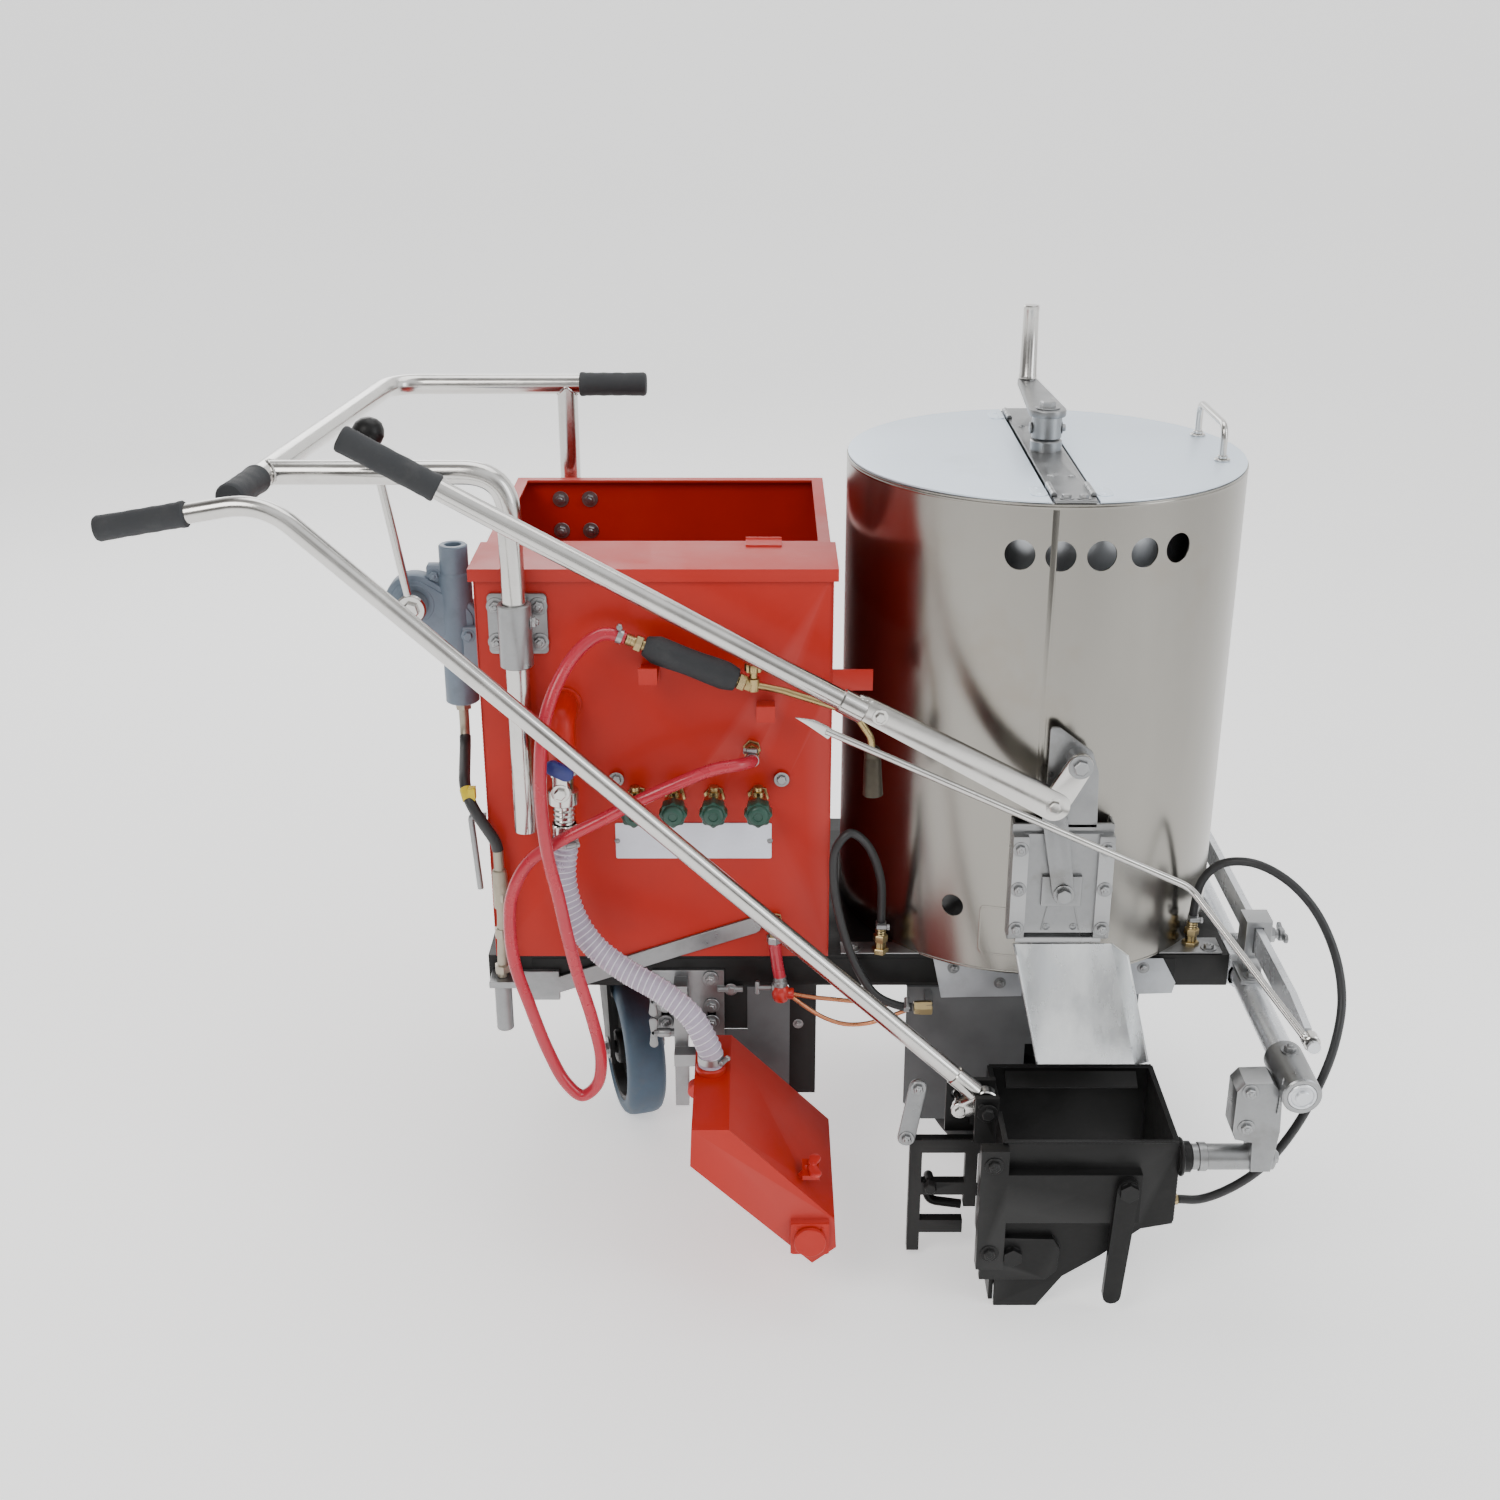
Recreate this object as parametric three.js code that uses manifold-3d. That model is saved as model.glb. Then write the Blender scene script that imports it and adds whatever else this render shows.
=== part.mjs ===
// A hand-pushed thermoplastic line striping machine: a heated paint kettle, a red cabinet for
// glass beads and the gas bottle, and a screed shoe that lays the line beside the machine.
// Millimetres, +X is the way it travels, +Y is its left side, +Z is up, the ground is z = 0.
// Every place is measured from the kettle's axis; the last lines shift the whole machine so
// that its origin is the middle of its footprint on the ground.
import * as THREE from "three";
import { mergeVertices } from "three/addons/utils/BufferGeometryUtils.js";
import Module from "manifold-3d";

const wasm = await Module();
wasm.setup();

// ---- driving dimensions ---------------------------------------------------------------
const FOOTPRINT_CENTRE = { x: -345.3, y: -85.5 };
const GAP = 0.3; // between pieces that touch
const RUN = 0.5; // radial clearance of a pin in its hole

const FRAME = { left: -640, right: 222, near: -178, far: 200, low: 278, high: 318, rail: 40 };
const AXLE = { x: 0, z: 125, radius: 10 };
const FRONT_WHEEL = { radius: 125, width: 50, nearY: -120, farY: 142 };
const CASTER = { x: -500, y: 40, yaw: 106, trail: 45, radius: 90, width: 50, plateZ: 206 };

const KETTLE = { radius: 225, wall: 2.5, base: 318.3, top: 868 };
const POT = { radius: 190, wall: 4, base: 400 };
const LID = { low: 868.3, thick: 2.4, hingeX: 20.5, hingeZ: 873 };
const CRANK = { z: 915, reach: 168, gripTop: 1007 };

const OUTLET = { left: -24, right: 40, low: 402, high: 458 };
const GATE = { left: -48, right: 63, low: 373, high: 515, back: -236 };
const LEVER_PIVOT = { x: 16, z: 594 };
const LINK_TOP = { x: -9, z: 548 };
const LINK_FOOT = { x: 9, z: 438 };
const LEVER_Y = -264;
const DISCHARGE_KNEE = { x: -230, z: 664 };
const DISCHARGE_END = { x: -740, z: 947 };

const BOX = { left: -630, right: -245, near: -181, far: 219, low: 318.3, high: 784, wall: 3 };
const DIVIDER_Y = -76;
const KNOB_X = [-462, -419, -375, -326];
const KNOB_Z = 523;
const BEAD_OUTLET = { x: -538, y: -230, z: 621 };

const RAIL = { x: 241, z: 290, radius: 15, near: -431, far: 185 };
const SHOE = { left: -64, right: 126, near: -405, far: -253, top: 216, wall: 6 };
const SHOE_PIVOT = { x: -75, y: -330, z: 220 };
const SHOE_BEND = { x: -804, z: 900 };
const SHOE_END = { x: -968.4, z: 872 };
const SLEEVE_Z = 195; // height of the trunnion that carries the shoe

const TUBE = 12.7; // radius of the handlebar tube
const BAR = { z: 897, nearY: -206, farY: 245, nearPostX: -584, farPostX: -566 };
const NEAR_RAIL_END = -828; // where the near rail meets the slanted rear one
const BAR_REAR = { x: -841, y: -306 }; // near end of the slanted rear rail
const BAR_CORNER = { x: -787, y: 245 }; // its far corner
const GRIP_RADIUS = 15;
const POINTER = { x: 246, z: 350, near: -405, far: 65, clampY: -186 };
const DISPENSER = { near: -415, far: -225, wall: 3 };
const ROLLER = { x: -270, z: 103, radius: 19 };

// ---- shape helpers --------------------------------------------------------------------
const at = (x, y, z) => new THREE.Vector3(x, y, z);

// A closed three.js geometry as a manifold solid with its faces pointing out.
function solid(geometry) {
  const bare = geometry.index ? geometry.toNonIndexed() : geometry;
  const shell = new THREE.BufferGeometry();
  shell.setAttribute("position", bare.getAttribute("position"));
  const merged = mergeVertices(shell, 1e-3);
  const vertProperties = Float32Array.from(merged.attributes.position.array);
  const triVerts = Uint32Array.from(merged.index.array);
  const made = new wasm.Manifold(new wasm.Mesh({ numProp: 3, vertProperties, triVerts }));
  if (made.volume() > 0) return made;
  return new wasm.Manifold(
    new wasm.Mesh({ numProp: 3, vertProperties, triVerts: triVerts.reverse() }),
  );
}

const join = (first, ...others) => others.reduce((whole, next) => whole.add(next), first);
const cut = (first, ...tools) => tools.reduce((rest, tool) => rest.subtract(tool), first);

function box(x0, x1, y0, y1, z0, z1) {
  const block = new THREE.BoxGeometry(x1 - x0, y1 - y0, z1 - z0);
  return solid(block.translate((x0 + x1) / 2, (y0 + y1) / 2, (z0 + z1) / 2));
}

// Thin rods need fewer facets than thick ones.
const facets = (radius) => (radius > 6 ? 12 : 8);

// A round rod, or a cone when its two radii differ.
function rod(from, to, radius, sides = facets(radius), endRadius = radius) {
  const run = to.clone().sub(from);
  const turn = new THREE.Quaternion().setFromUnitVectors(at(0, 1, 0), run.clone().normalize());
  const shape = new THREE.CylinderGeometry(endRadius, radius, run.length(), sides);
  const middle = from.clone().lerp(to, 0.5);
  return solid(shape.applyQuaternion(turn).translate(middle.x, middle.y, middle.z));
}

const rodX = (x0, x1, y, z, radius, sides) => rod(at(x0, y, z), at(x1, y, z), radius, sides);
const rodY = (x, y0, y1, z, radius, sides) => rod(at(x, y0, z), at(x, y1, z), radius, sides);
const rodZ = (x, y, z0, z1, radius, sides) => rod(at(x, y, z0), at(x, y, z1), radius, sides);
const ball = (centre, radius) =>
  solid(new THREE.SphereGeometry(radius, 12, 8).translate(centre.x, centre.y, centre.z));

// A route through given points; a sweep along it has one ring at each point.
class Route extends THREE.Curve {
  constructor(points) {
    super();
    this.points = points;
  }
  getPointAt(u) {
    return this.points[Math.round(u * (this.points.length - 1))].clone();
  }
  getPoint(u) {
    return this.getPointAt(u);
  }
  getTangentAt(u) {
    const i = Math.round(u * (this.points.length - 1));
    const before = this.points[Math.max(i - 1, 0)];
    const here = this.points[i];
    const after = this.points[Math.min(i + 1, this.points.length - 1)];
    const arriving = here.clone().sub(before).normalize();
    return after.clone().sub(here).normalize().add(arriving).normalize();
  }
}

// The points with each inner corner rounded to about the given radius.
function rounded(points, radius, steps = 4) {
  const path = [points[0]];
  for (let i = 1; i < points.length - 1; i++) {
    const back = points[i - 1].clone().sub(points[i]);
    const ahead = points[i + 1].clone().sub(points[i]);
    const turn = Math.PI - back.angleTo(ahead);
    const reach = Math.min(radius * Math.tan(turn / 2), back.length() / 2, ahead.length() / 2);
    const corner = new THREE.QuadraticBezierCurve3(
      points[i].clone().addScaledVector(back.normalize(), reach),
      points[i],
      points[i].clone().addScaledVector(ahead.normalize(), reach),
    );
    path.push(...corner.getPoints(steps));
  }
  return [...path, points.at(-1)];
}

function circle(radius, sides) {
  const turns = Array.from({ length: sides }, (_, i) => (i * 2 * Math.PI) / sides);
  const corners = turns.map((a) => new THREE.Vector2(radius * Math.cos(a), radius * Math.sin(a)));
  return new THREE.Shape(corners);
}

function sweep(points, radius, sides = 12) {
  const extrudePath = new Route(points);
  const settings = { extrudePath, steps: points.length - 1 };
  return solid(new THREE.ExtrudeGeometry(circle(radius, sides), settings));
}

// A smooth hose through the route points, in a whole number of equal steps.
function hose(points, radius, steps) {
  const curve = new THREE.CatmullRomCurve3(points, false, "centripetal");
  const settings = { extrudePath: curve, steps };
  return solid(new THREE.ExtrudeGeometry(circle(radius, 8), settings));
}

// A round-ended bar outline between two circles, as points of the plane.
function capsule(a, b, radiusA, radiusB = radiusA, steps = 6) {
  const heading = Math.atan2(b.z - a.z, b.x - a.x);
  const lean = Math.acos((radiusA - radiusB) / Math.hypot(b.x - a.x, b.z - a.z));
  const arc = (centre, radius, start, end) =>
    Array.from({ length: steps + 1 }, (_, i) => {
      const angle = start + ((end - start) * i) / steps;
      return [centre.x + radius * Math.cos(angle), centre.z + radius * Math.sin(angle)];
    });
  const endArc = arc(b, radiusB, heading - lean, heading + lean);
  const startArc = arc(a, radiusA, heading + lean, heading + 2 * Math.PI - lean);
  return [...endArc, ...startArc];
}

const outlined = (outline) => new THREE.Shape(outline.map(([u, v]) => new THREE.Vector2(u, v)));
const slab = (outline, depth) =>
  new THREE.ExtrudeGeometry(outlined(outline), { depth, bevelEnabled: false });

// Plates cut from an outline: in the x-z plane, in the x-y plane and in the y-z plane.
const plateY = (outline, y0, y1) =>
  solid(slab(outline, y1 - y0).rotateX(Math.PI / 2).translate(0, y1, 0));
const plateZ = (outline, z0, z1) => solid(slab(outline, z1 - z0).translate(0, 0, z0));
const CYCLE = new THREE.Matrix4().makeBasis(at(0, 1, 0), at(0, 0, 1), at(1, 0, 0));
const plateX = (outline, x0, x1) => solid(slab(outline, x1 - x0).applyMatrix4(CYCLE).translate(x0, 0, 0));

// A turned piece: its profile is [radius, height] pairs, spun about y or about z.
function turnedY(profile, sides) {
  const points = profile.map(([radius, height]) => new THREE.Vector2(radius, height));
  return solid(new THREE.LatheGeometry(points, sides));
}
const turnedZ = (profile, sides) => turnedY(profile, sides).rotate([90, 0, 0]);
const hexY = (x, y0, y1, z, radius) => rodY(x, y0, y1, z, radius, 6);

// ---- scene graph ----------------------------------------------------------------------
const look = (color, roughness, metalness) =>
  new THREE.MeshStandardMaterial({ color, roughness, metalness });
const LOOKS = {
  red: look(0xab2c1e, 0.35, 0.1),
  black: look(0x1e1f1d, 0.5, 0.2),
  stainless: look(0x929088, 0.25, 1),
  zinc: look(0xb4b8ba, 0.45, 0.9),
  chrome: look(0xc4c6c6, 0.18, 1),
  grip: look(0x33373a, 0.7, 0),
  casting: look(0x717b8c, 0.55, 0.3),
  brass: look(0xa8925a, 0.35, 0.9),
  knob: look(0x1f6a4a, 0.45, 0),
  tyre: look(0x425363, 0.7, 0),
  rubber: look(0x2a2a2a, 0.8, 0),
  redHose: look(0xb03a4a, 0.3, 0),
  clearHose: look(0xa0a0b0, 0.2, 0),
  blackHose: look(0x2e2e30, 0.5, 0),
  blue: look(0x2a3f8c, 0.4, 0),
};

const group = new THREE.Group();
const machine = new THREE.Group();
machine.position.set(-FOOTPRINT_CENTRE.x, -FOOTPRINT_CENTRE.y, 0);
group.add(machine);

function part(name, shape, material, parent = machine) {
  const { vertProperties, triVerts } = shape.getMesh();
  const indexed = new THREE.BufferGeometry();
  indexed.setAttribute("position", new THREE.BufferAttribute(Float32Array.from(vertProperties), 3));
  indexed.setIndex(new THREE.BufferAttribute(Uint32Array.from(triVerts), 1));
  const geometry = indexed.toNonIndexed();
  geometry.computeVertexNormals();
  const mesh = new THREE.Mesh(geometry, material);
  mesh.name = name;
  parent.add(mesh);
}

// ---- chassis --------------------------------------------------------------------------
const AXLE_BRACKETS = [-92, 106]; // lower y of each bracket plate
const BRACKET_THICK = 8;
const HOSE_STARTS = [
  { x: -184, y: -171 },
  { x: 181, y: -155 },
]; // fittings on the deck for the two shoe hoses

function chassisFrame() {
  const { left, right, near, far, low, high, rail } = FRAME;
  const cross = (x) => box(x, x + rail, near, far, low, high);
  const burnerHole = rodZ(0, 0, 300, 330, 150, 32);
  const deck = cut(box(-240, right, near, far, high - 3, high), burnerHole);
  const brackets = AXLE_BRACKETS.map((y) =>
    cut(
      box(-28, 28, y, y + BRACKET_THICK, AXLE.z - 25, low + 10),
      rodY(AXLE.x, y - 1, y + BRACKET_THICK + 1, AXLE.z, AXLE.radius + RUN),
    ),
  );
  return join(
    box(left, right, near, near + rail, low, high),
    box(left, right, far - rail, far, low, high),
    cross(left),
    cross(CASTER.x - rail / 2),
    cross(-245),
    cross(-rail / 2),
    cross(right - rail),
    deck,
    ...brackets,
    box(CASTER.x - 30, CASTER.x + 30, CASTER.y - 30, CASTER.y + 30, CASTER.plateZ + 8, high - 5),
    box(-290, -284, near, near + 34, 130, low + 5),
    box(-290, -258, near, near + 5, 130, low + 5),
    ...HOSE_STARTS.map(({ x, y }) => rodZ(x, y, high - 1, 350, 6)),
  );
}

function frontAxle() {
  const collar = (y) => rodY(AXLE.x, y, y + 6, AXLE.z, 16);
  const nearEnd = FRONT_WHEEL.nearY - FRONT_WHEEL.width / 2 - 7;
  const farEnd = FRONT_WHEEL.farY + FRONT_WHEEL.width / 2 + 1;
  return join(
    rodY(AXLE.x, nearEnd, farEnd + 6, AXLE.z, AXLE.radius),
    collar(nearEnd),
    collar(farEnd),
  );
}

const WHEEL_SIDES = 18;

// Half a wheel's outline, mirrored about its middle and closed, then turned about its axle.
function wheelRing(halfProfile) {
  const mirrored = halfProfile.map(([radius, y]) => [radius, -y]).reverse();
  const closed = [...halfProfile, ...mirrored, halfProfile[0]];
  return turnedY(closed, WHEEL_SIDES);
}

const treadOutline = (radius, half) => [
  [radius - 5, -half],
  [radius, -half + 5],
];
const webOutline = (rim, bore, half) => [
  [bore, -half + 1],
  [bore + 13, -half + 1],
  [bore + 13, -5],
  [rim - 6, -5],
  [rim - 6, -half + 3],
];

function frontWheels() {
  const { radius, width, nearY, farY } = FRONT_WHEEL;
  const web = webOutline(radius - 26, AXLE.radius + RUN, width / 2);
  const outline = [...web, ...treadOutline(radius, width / 2)];
  const places = { near: nearY, far: farY };
  for (const [side, y] of Object.entries(places)) {
    const wheel = new THREE.Group();
    wheel.position.set(AXLE.x, y, AXLE.z);
    machine.add(wheel);
    part(`front_wheel_${side}`, wheelRing(outline), LOOKS.rubber, wheel);
  }
}

// The caster's group stands on its swivel axis, with the wheel trailing along its own -x.
function caster() {
  const swivel = new THREE.Group();
  swivel.position.set(CASTER.x, CASTER.y, 0);
  swivel.rotation.z = THREE.MathUtils.degToRad(CASTER.yaw);
  machine.add(swivel);
  const half = CASTER.width / 2;
  const axleZ = CASTER.radius;
  const pinRadius = 8;
  const crown = CASTER.plateZ - 8;
  const side = [
    [-CASTER.trail - 16, axleZ - 16],
    [-CASTER.trail + 16, axleZ - 16],
    [30, crown + 2],
    [-38, crown + 2],
  ];
  const legs = [plateY(side, half + 3, half + 8), plateY(side, -half - 8, -half - 3)];
  const fork = join(
    rodZ(0, 0, crown, CASTER.plateZ, 40, 24),
    rodZ(0, 0, CASTER.plateZ - 1, CASTER.plateZ + 7.7, 27, 24),
    box(-38, 30, -half - 8, half + 8, crown - 1, crown + 4),
    ...legs,
    rodY(-CASTER.trail, -half - 14, half + 14, axleZ, pinRadius, 12),
  );
  part("caster_fork", fork, LOOKS.black, swivel);

  const wheel = new THREE.Group();
  wheel.position.set(-CASTER.trail, 0, axleZ);
  swivel.add(wheel);
  const rim = CASTER.radius - 20;
  const tread = [[rim + GAP, -half], ...treadOutline(CASTER.radius, half)];
  const hub = [...webOutline(rim, pinRadius + RUN, half), [rim, -half + 3]];
  part("caster_tyre", wheelRing(tread), LOOKS.tyre, wheel);
  part("caster_hub", wheelRing(hub), LOOKS.black, wheel);
}

function wheelGuard() {
  const outline = [
    [-152, 118],
    [-130, 95],
    [-10, 95],
    [-10, 200],
    [120, 200],
    [120, 277.5],
    [-152, 277.5],
  ];
  const lip = box(-152, 120, -181.3, -139, 274.5, 277.5);
  const hoseEnd = join(
    rodX(-146.8, -124, -212, 268, 6),
    box(-132, -124, -217, -180, 262, 274),
  );
  return join(plateY(outline, -181.3, -178.5), lip, hoseEnd);
}

// ---- kettle ---------------------------------------------------------------------------
const VENT_ANGLES = [-14, -3.2, 7.8, 20.1, 31]; // degrees from the near side towards the front
const VENT = { z: 813, radius: 16 };
const IGNITION = { angle: -28, z: 394, radius: 13 };

function radialTool(angle, z, radius) {
  const a = THREE.MathUtils.degToRad(angle);
  const along = (reach) => at(reach * Math.sin(a), -reach * Math.cos(a), z);
  return rod(along(KETTLE.radius - 25), along(KETTLE.radius + 25), radius, 10);
}

function kettleShell() {
  const { radius, wall, base, top } = KETTLE;
  const skin = turnedZ(
    [
      [radius - wall, base],
      [radius, base],
      [radius, top],
      [radius - wall, top],
      [radius - wall, base],
    ],
    48,
  );
  return cut(
    skin,
    ...VENT_ANGLES.map((angle) => radialTool(angle, VENT.z, VENT.radius)),
    radialTool(IGNITION.angle, IGNITION.z, IGNITION.radius),
    box(OUTLET.left - 4, OUTLET.right + 4, -240, -180, OUTLET.low - 4, OUTLET.high + 4),
  );
}

function kettlePot() {
  const { radius, wall, base } = POT;
  const rim = KETTLE.radius - KETTLE.wall - 0.8;
  const brim = KETTLE.top - GAP;
  const bowl = turnedZ(
    [
      [0, base],
      [radius, base],
      [radius, brim - 4],
      [rim, brim - 4],
      [rim, brim],
      [radius - wall, brim],
      [radius - wall, base + wall],
      [0, base + wall],
    ],
    32,
  );
  const { left, right, low, high } = OUTLET;
  const duct = box(left, right, GATE.back + GAP, -182, low, high);
  const bore = box(left + wall, right - wall, -250, -170, low + wall, high - wall);
  const room = rodZ(0, 0, base + wall, brim - 8, radius - wall, 32);
  return cut(join(bowl, cut(duct, room)), bore);
}

function burner() {
  const ringZ = 345;
  const ring = solid(new THREE.TorusGeometry(80, 9, 5, 16).translate(0, 0, ringZ));
  const foot = (x) => box(x - 6, x + 6, -8, 8, FRAME.high + GAP, ringZ);
  return join(
    ring,
    box(-172, 172, -8, 8, FRAME.high + GAP, FRAME.high + 6),
    foot(-80),
    foot(80),
    rodZ(64, -48, FRAME.low + 4, ringZ, 7, 12),
  );
}

// The fixed strip across the kettle's mouth: half lids hinge on it and the crank turns in it.
function lidBridge() {
  const reach = KETTLE.radius - 2;
  const hinge = (x, y) => rodY(x, y, y + 46, LID.hingeZ, 3.2, 8);
  const lug = (x, y) => box(x - 3, x + 3, y, y + 46, LID.low + 1, LID.hingeZ);
  const places = [-206, 160].flatMap((y) => [
    [LID.hingeX, y],
    [-LID.hingeX, y],
  ]);
  const bolt = (x) => rodZ(x, -216, LID.low, LID.low + 8, 5, 6);
  const strip = box(-22, 22, -reach, reach, LID.low, LID.low + 3.5);
  const tower = rodZ(0, 0, LID.low, 884, 18, 16);
  const bore = rodZ(0, 0, 860, 890, 8 + RUN, 16);
  const leaves = places.flatMap(([x, y]) => [hinge(x, y), lug(x, y)]);
  return cut(join(strip, tower, ...leaves, bolt(-9), bolt(9)), bore);
}

// A half lid: a flat half disc, clear of the barrels that it swings on.
function halfLid(side) {
  const radius = KETTLE.radius - 1;
  const inner = LID.hingeX + 4.1;
  const start = Math.acos(inner / radius);
  const steps = 22;
  const arc = Array.from({ length: steps + 1 }, (_, i) => {
    const angle = -start + (2 * start * i) / steps;
    return [side * radius * Math.cos(angle), radius * Math.sin(angle)];
  });
  return plateZ(side > 0 ? arc : arc.reverse(), LID.low, LID.low + LID.thick);
}

function lidHandle() {
  const x = 190;
  const foot = LID.low + LID.thick - 0.5;
  const bar = foot + 40;
  const bend = [at(x, -47, foot), at(x, -47, bar), at(x, 76, bar), at(x, 76, foot)];
  const bow = sweep(rounded(bend, 16, 3), 4, 8);
  const pad = (y) => rodZ(x, y, foot, foot + 3, 9, 12);
  return join(bow, pad(-47), pad(76));
}

function crankArm() {
  const { z, reach } = CRANK;
  const arm = capsule({ x: 0, z: 0 }, { x: 0, z: reach }, 21, 12);
  const collar = cut(
    join(
      rodZ(0, 0, 886, z, 17, 16),
      rodX(-22, 22, 0, 897, 6),
      plateZ(arm, z - 4, z + 4),
    ),
    rodZ(0, 0, 880, z - 4, 8 + RUN, 16),
  );
  return join(collar, rodZ(0, reach, z, CRANK.gripTop - 3, 5), rodZ(0, 0, z, z + 9, 8, 6));
}

function crankGrip() {
  const { z, reach, gripTop } = CRANK;
  const body = rod(at(0, reach, z + 4 + GAP), at(0, reach, gripTop), 11, 16, 9);
  return cut(body, rodZ(0, reach, z, gripTop - 2, 5 + RUN));
}

function stirrer() {
  const blade = (z, turn) => {
    const half = 160;
    const paddle = solid(new THREE.BoxGeometry(2 * half, 5, 36).rotateX(0.6));
    return paddle.rotate([0, 0, turn]).translate([0, 0, z]);
  };
  return join(
    rodZ(0, 0, POT.base + POT.wall + 3, CRANK.z - 5, 8, 16),
    blade(450, 0),
    blade(560, 90),
    blade(670, 45),
  );
}

// ---- discharge gate -------------------------------------------------------------------
const BOLT_ROWS = [392, 441, 490];
const GATE_FRONT = -246; // front face of the sliding gate

function gateHousing() {
  const { left, right, low, high, back } = GATE;
  const rear = back - 4;
  const face = GATE_FRONT - 6;
  const upright = [
    [-14, high - 5],
    [44, high - 5],
    [41, 576],
    [33, 600],
    [18, 611],
    [-4, 628],
    [-14, 629],
  ];
  const guide = (x0, x1) => box(x0, x1, face, rear + 1, low + 7, high - 10);
  const flange = (x0, x1, y) => box(x0, x1, rear, y, low, high);
  const heads = BOLT_ROWS.flatMap((z) => [
    hexY(left + 8, face - 5, face + 1, z, 6),
    hexY(right - 8, face - 5, face + 1, z, 6),
  ]);
  const blank = join(
    box(left, right, rear, back, low, high),
    flange(left, left + 3, -221),
    flange(right - 3, right, -218),
    guide(left, left + 17),
    guide(right - 17, right),
    plateY(upright, rear, back),
    rodY(LEVER_PIVOT.x, LEVER_Y + 4.5, back, LEVER_PIVOT.z, 12),
    rodY(LEVER_PIVOT.x, LEVER_Y - 8, back, LEVER_PIVOT.z, 5),
    hexY(LEVER_PIVOT.x, LEVER_Y - 11, LEVER_Y - 4.5, LEVER_PIVOT.z, 10),
    ...heads,
  );
  const groove = box(left + 12, right - 12, GATE_FRONT - GAP, rear, low - 1, high + 120);
  const window = box(OUTLET.left + 4, OUTLET.right - 4, -260, -230, OUTLET.low + 4, OUTLET.high - 4);
  return cut(blank, cut(groove, box(-100, 100, -260, -200, high - 10, high + 200)), window);
}

function gatePlate() {
  const blade = box(GATE.left + 12.5, GATE.right - 12.5, GATE_FRONT, GATE.back - 4 - GAP, 384, 506);
  const rib = box(-14, 30, GATE_FRONT - 5, GATE_FRONT + 1, 420, 456);
  const bolt = rodY(LINK_FOOT.x, -262, GATE_FRONT + 1, LINK_FOOT.z, 5);
  return join(blade, rib, bolt, hexY(LINK_FOOT.x, -266, -259, LINK_FOOT.z, 8.5));
}

const LINK_SLACK = 9; // radius of the link's upper eye, wide round the lever's 4 mm pin

function gateLink() {
  const bar = capsule(LINK_FOOT, LINK_TOP, 12, 14);
  return cut(
    plateY(bar, -258.5, -254.5),
    rodY(LINK_FOOT.x, -262, -250, LINK_FOOT.z, 5 + RUN),
    rodY(LINK_TOP.x, -262, -250, LINK_TOP.z, LINK_SLACK),
  );
}

function dischargeLever() {
  const run = at(DISCHARGE_END.x - DISCHARGE_KNEE.x, 0, DISCHARGE_END.z - DISCHARGE_KNEE.z);
  const along = (t) => at(DISCHARGE_KNEE.x, LEVER_Y, DISCHARGE_KNEE.z).addScaledVector(run, t);
  const bar = (outline) => plateY(outline, LEVER_Y - 4, LEVER_Y + 4);
  return cut(
    join(
      bar(capsule(LINK_TOP, { x: -216, z: 661 }, 17, 13)),
      bar(capsule(LEVER_PIVOT, LINK_TOP, 14, 15)),
      rod(along(-0.02), along(0.985), 11, 14),
      rod(along(-0.03), along(0.02), 13.5, 14),
      rodY(LINK_TOP.x, LEVER_Y, -253.5, LINK_TOP.z, 4),
    ),
    rodY(LEVER_PIVOT.x, LEVER_Y - 9, LEVER_Y + 9, LEVER_PIVOT.z, 5 + RUN),
  );
}

function dischargeGrip() {
  const run = at(DISCHARGE_END.x - DISCHARGE_KNEE.x, 0, DISCHARGE_END.z - DISCHARGE_KNEE.z);
  const along = (t) => at(DISCHARGE_KNEE.x, LEVER_Y, DISCHARGE_KNEE.z).addScaledVector(run, t);
  return cut(rod(along(0.815), along(1), 14.5, 18), rod(along(0.8), along(0.988), 11 + GAP, 14));
}

// A steep trough of folded sheet that leads the paint from the gate down into the shoe. It is
// drawn upright in x and z, then leaned so that it comes forward as it goes down.
const CHUTE = { top: at(14, -250, 372), foot: at(40, -300, 247), half: 56, rise: 26, sheet: 2 };

function chute() {
  const { top, foot, half, rise, sheet } = CHUTE;
  const slope = (foot.y - top.y) / (foot.z - top.z);
  const lean = new THREE.Matrix4();
  lean.set(1, 0, 0, 0, 0, 1, slope, top.y - slope * top.z, 0, 0, 1, 0, 0, 0, 0, 1);
  const strip = (x0, x1, depth) =>
    plateY(
      [
        [top.x + x0, top.z],
        [top.x + x1, top.z],
        [foot.x + x1, foot.z],
        [foot.x + x0, foot.z],
      ],
      -depth,
      sheet,
    );
  const floor = strip(-half, half, 0);
  const walls = [strip(-half, sheet - half, rise), strip(half - sheet, half, rise)];
  const under = plateX(
    [
      [foot.y - rise - 5, foot.z - 3],
      [foot.y - 1, foot.z - 3],
      [foot.y - 1, foot.z],
      [foot.y - rise - 5, foot.z + 26],
    ],
    foot.x - half - 5,
    foot.x + half + 5,
  );
  return cut(join(floor, ...walls).transform(lean.elements), under);
}

// ---- cabinet --------------------------------------------------------------------------
const BOTTLE_FLOOR = BOX.low + 3;

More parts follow.
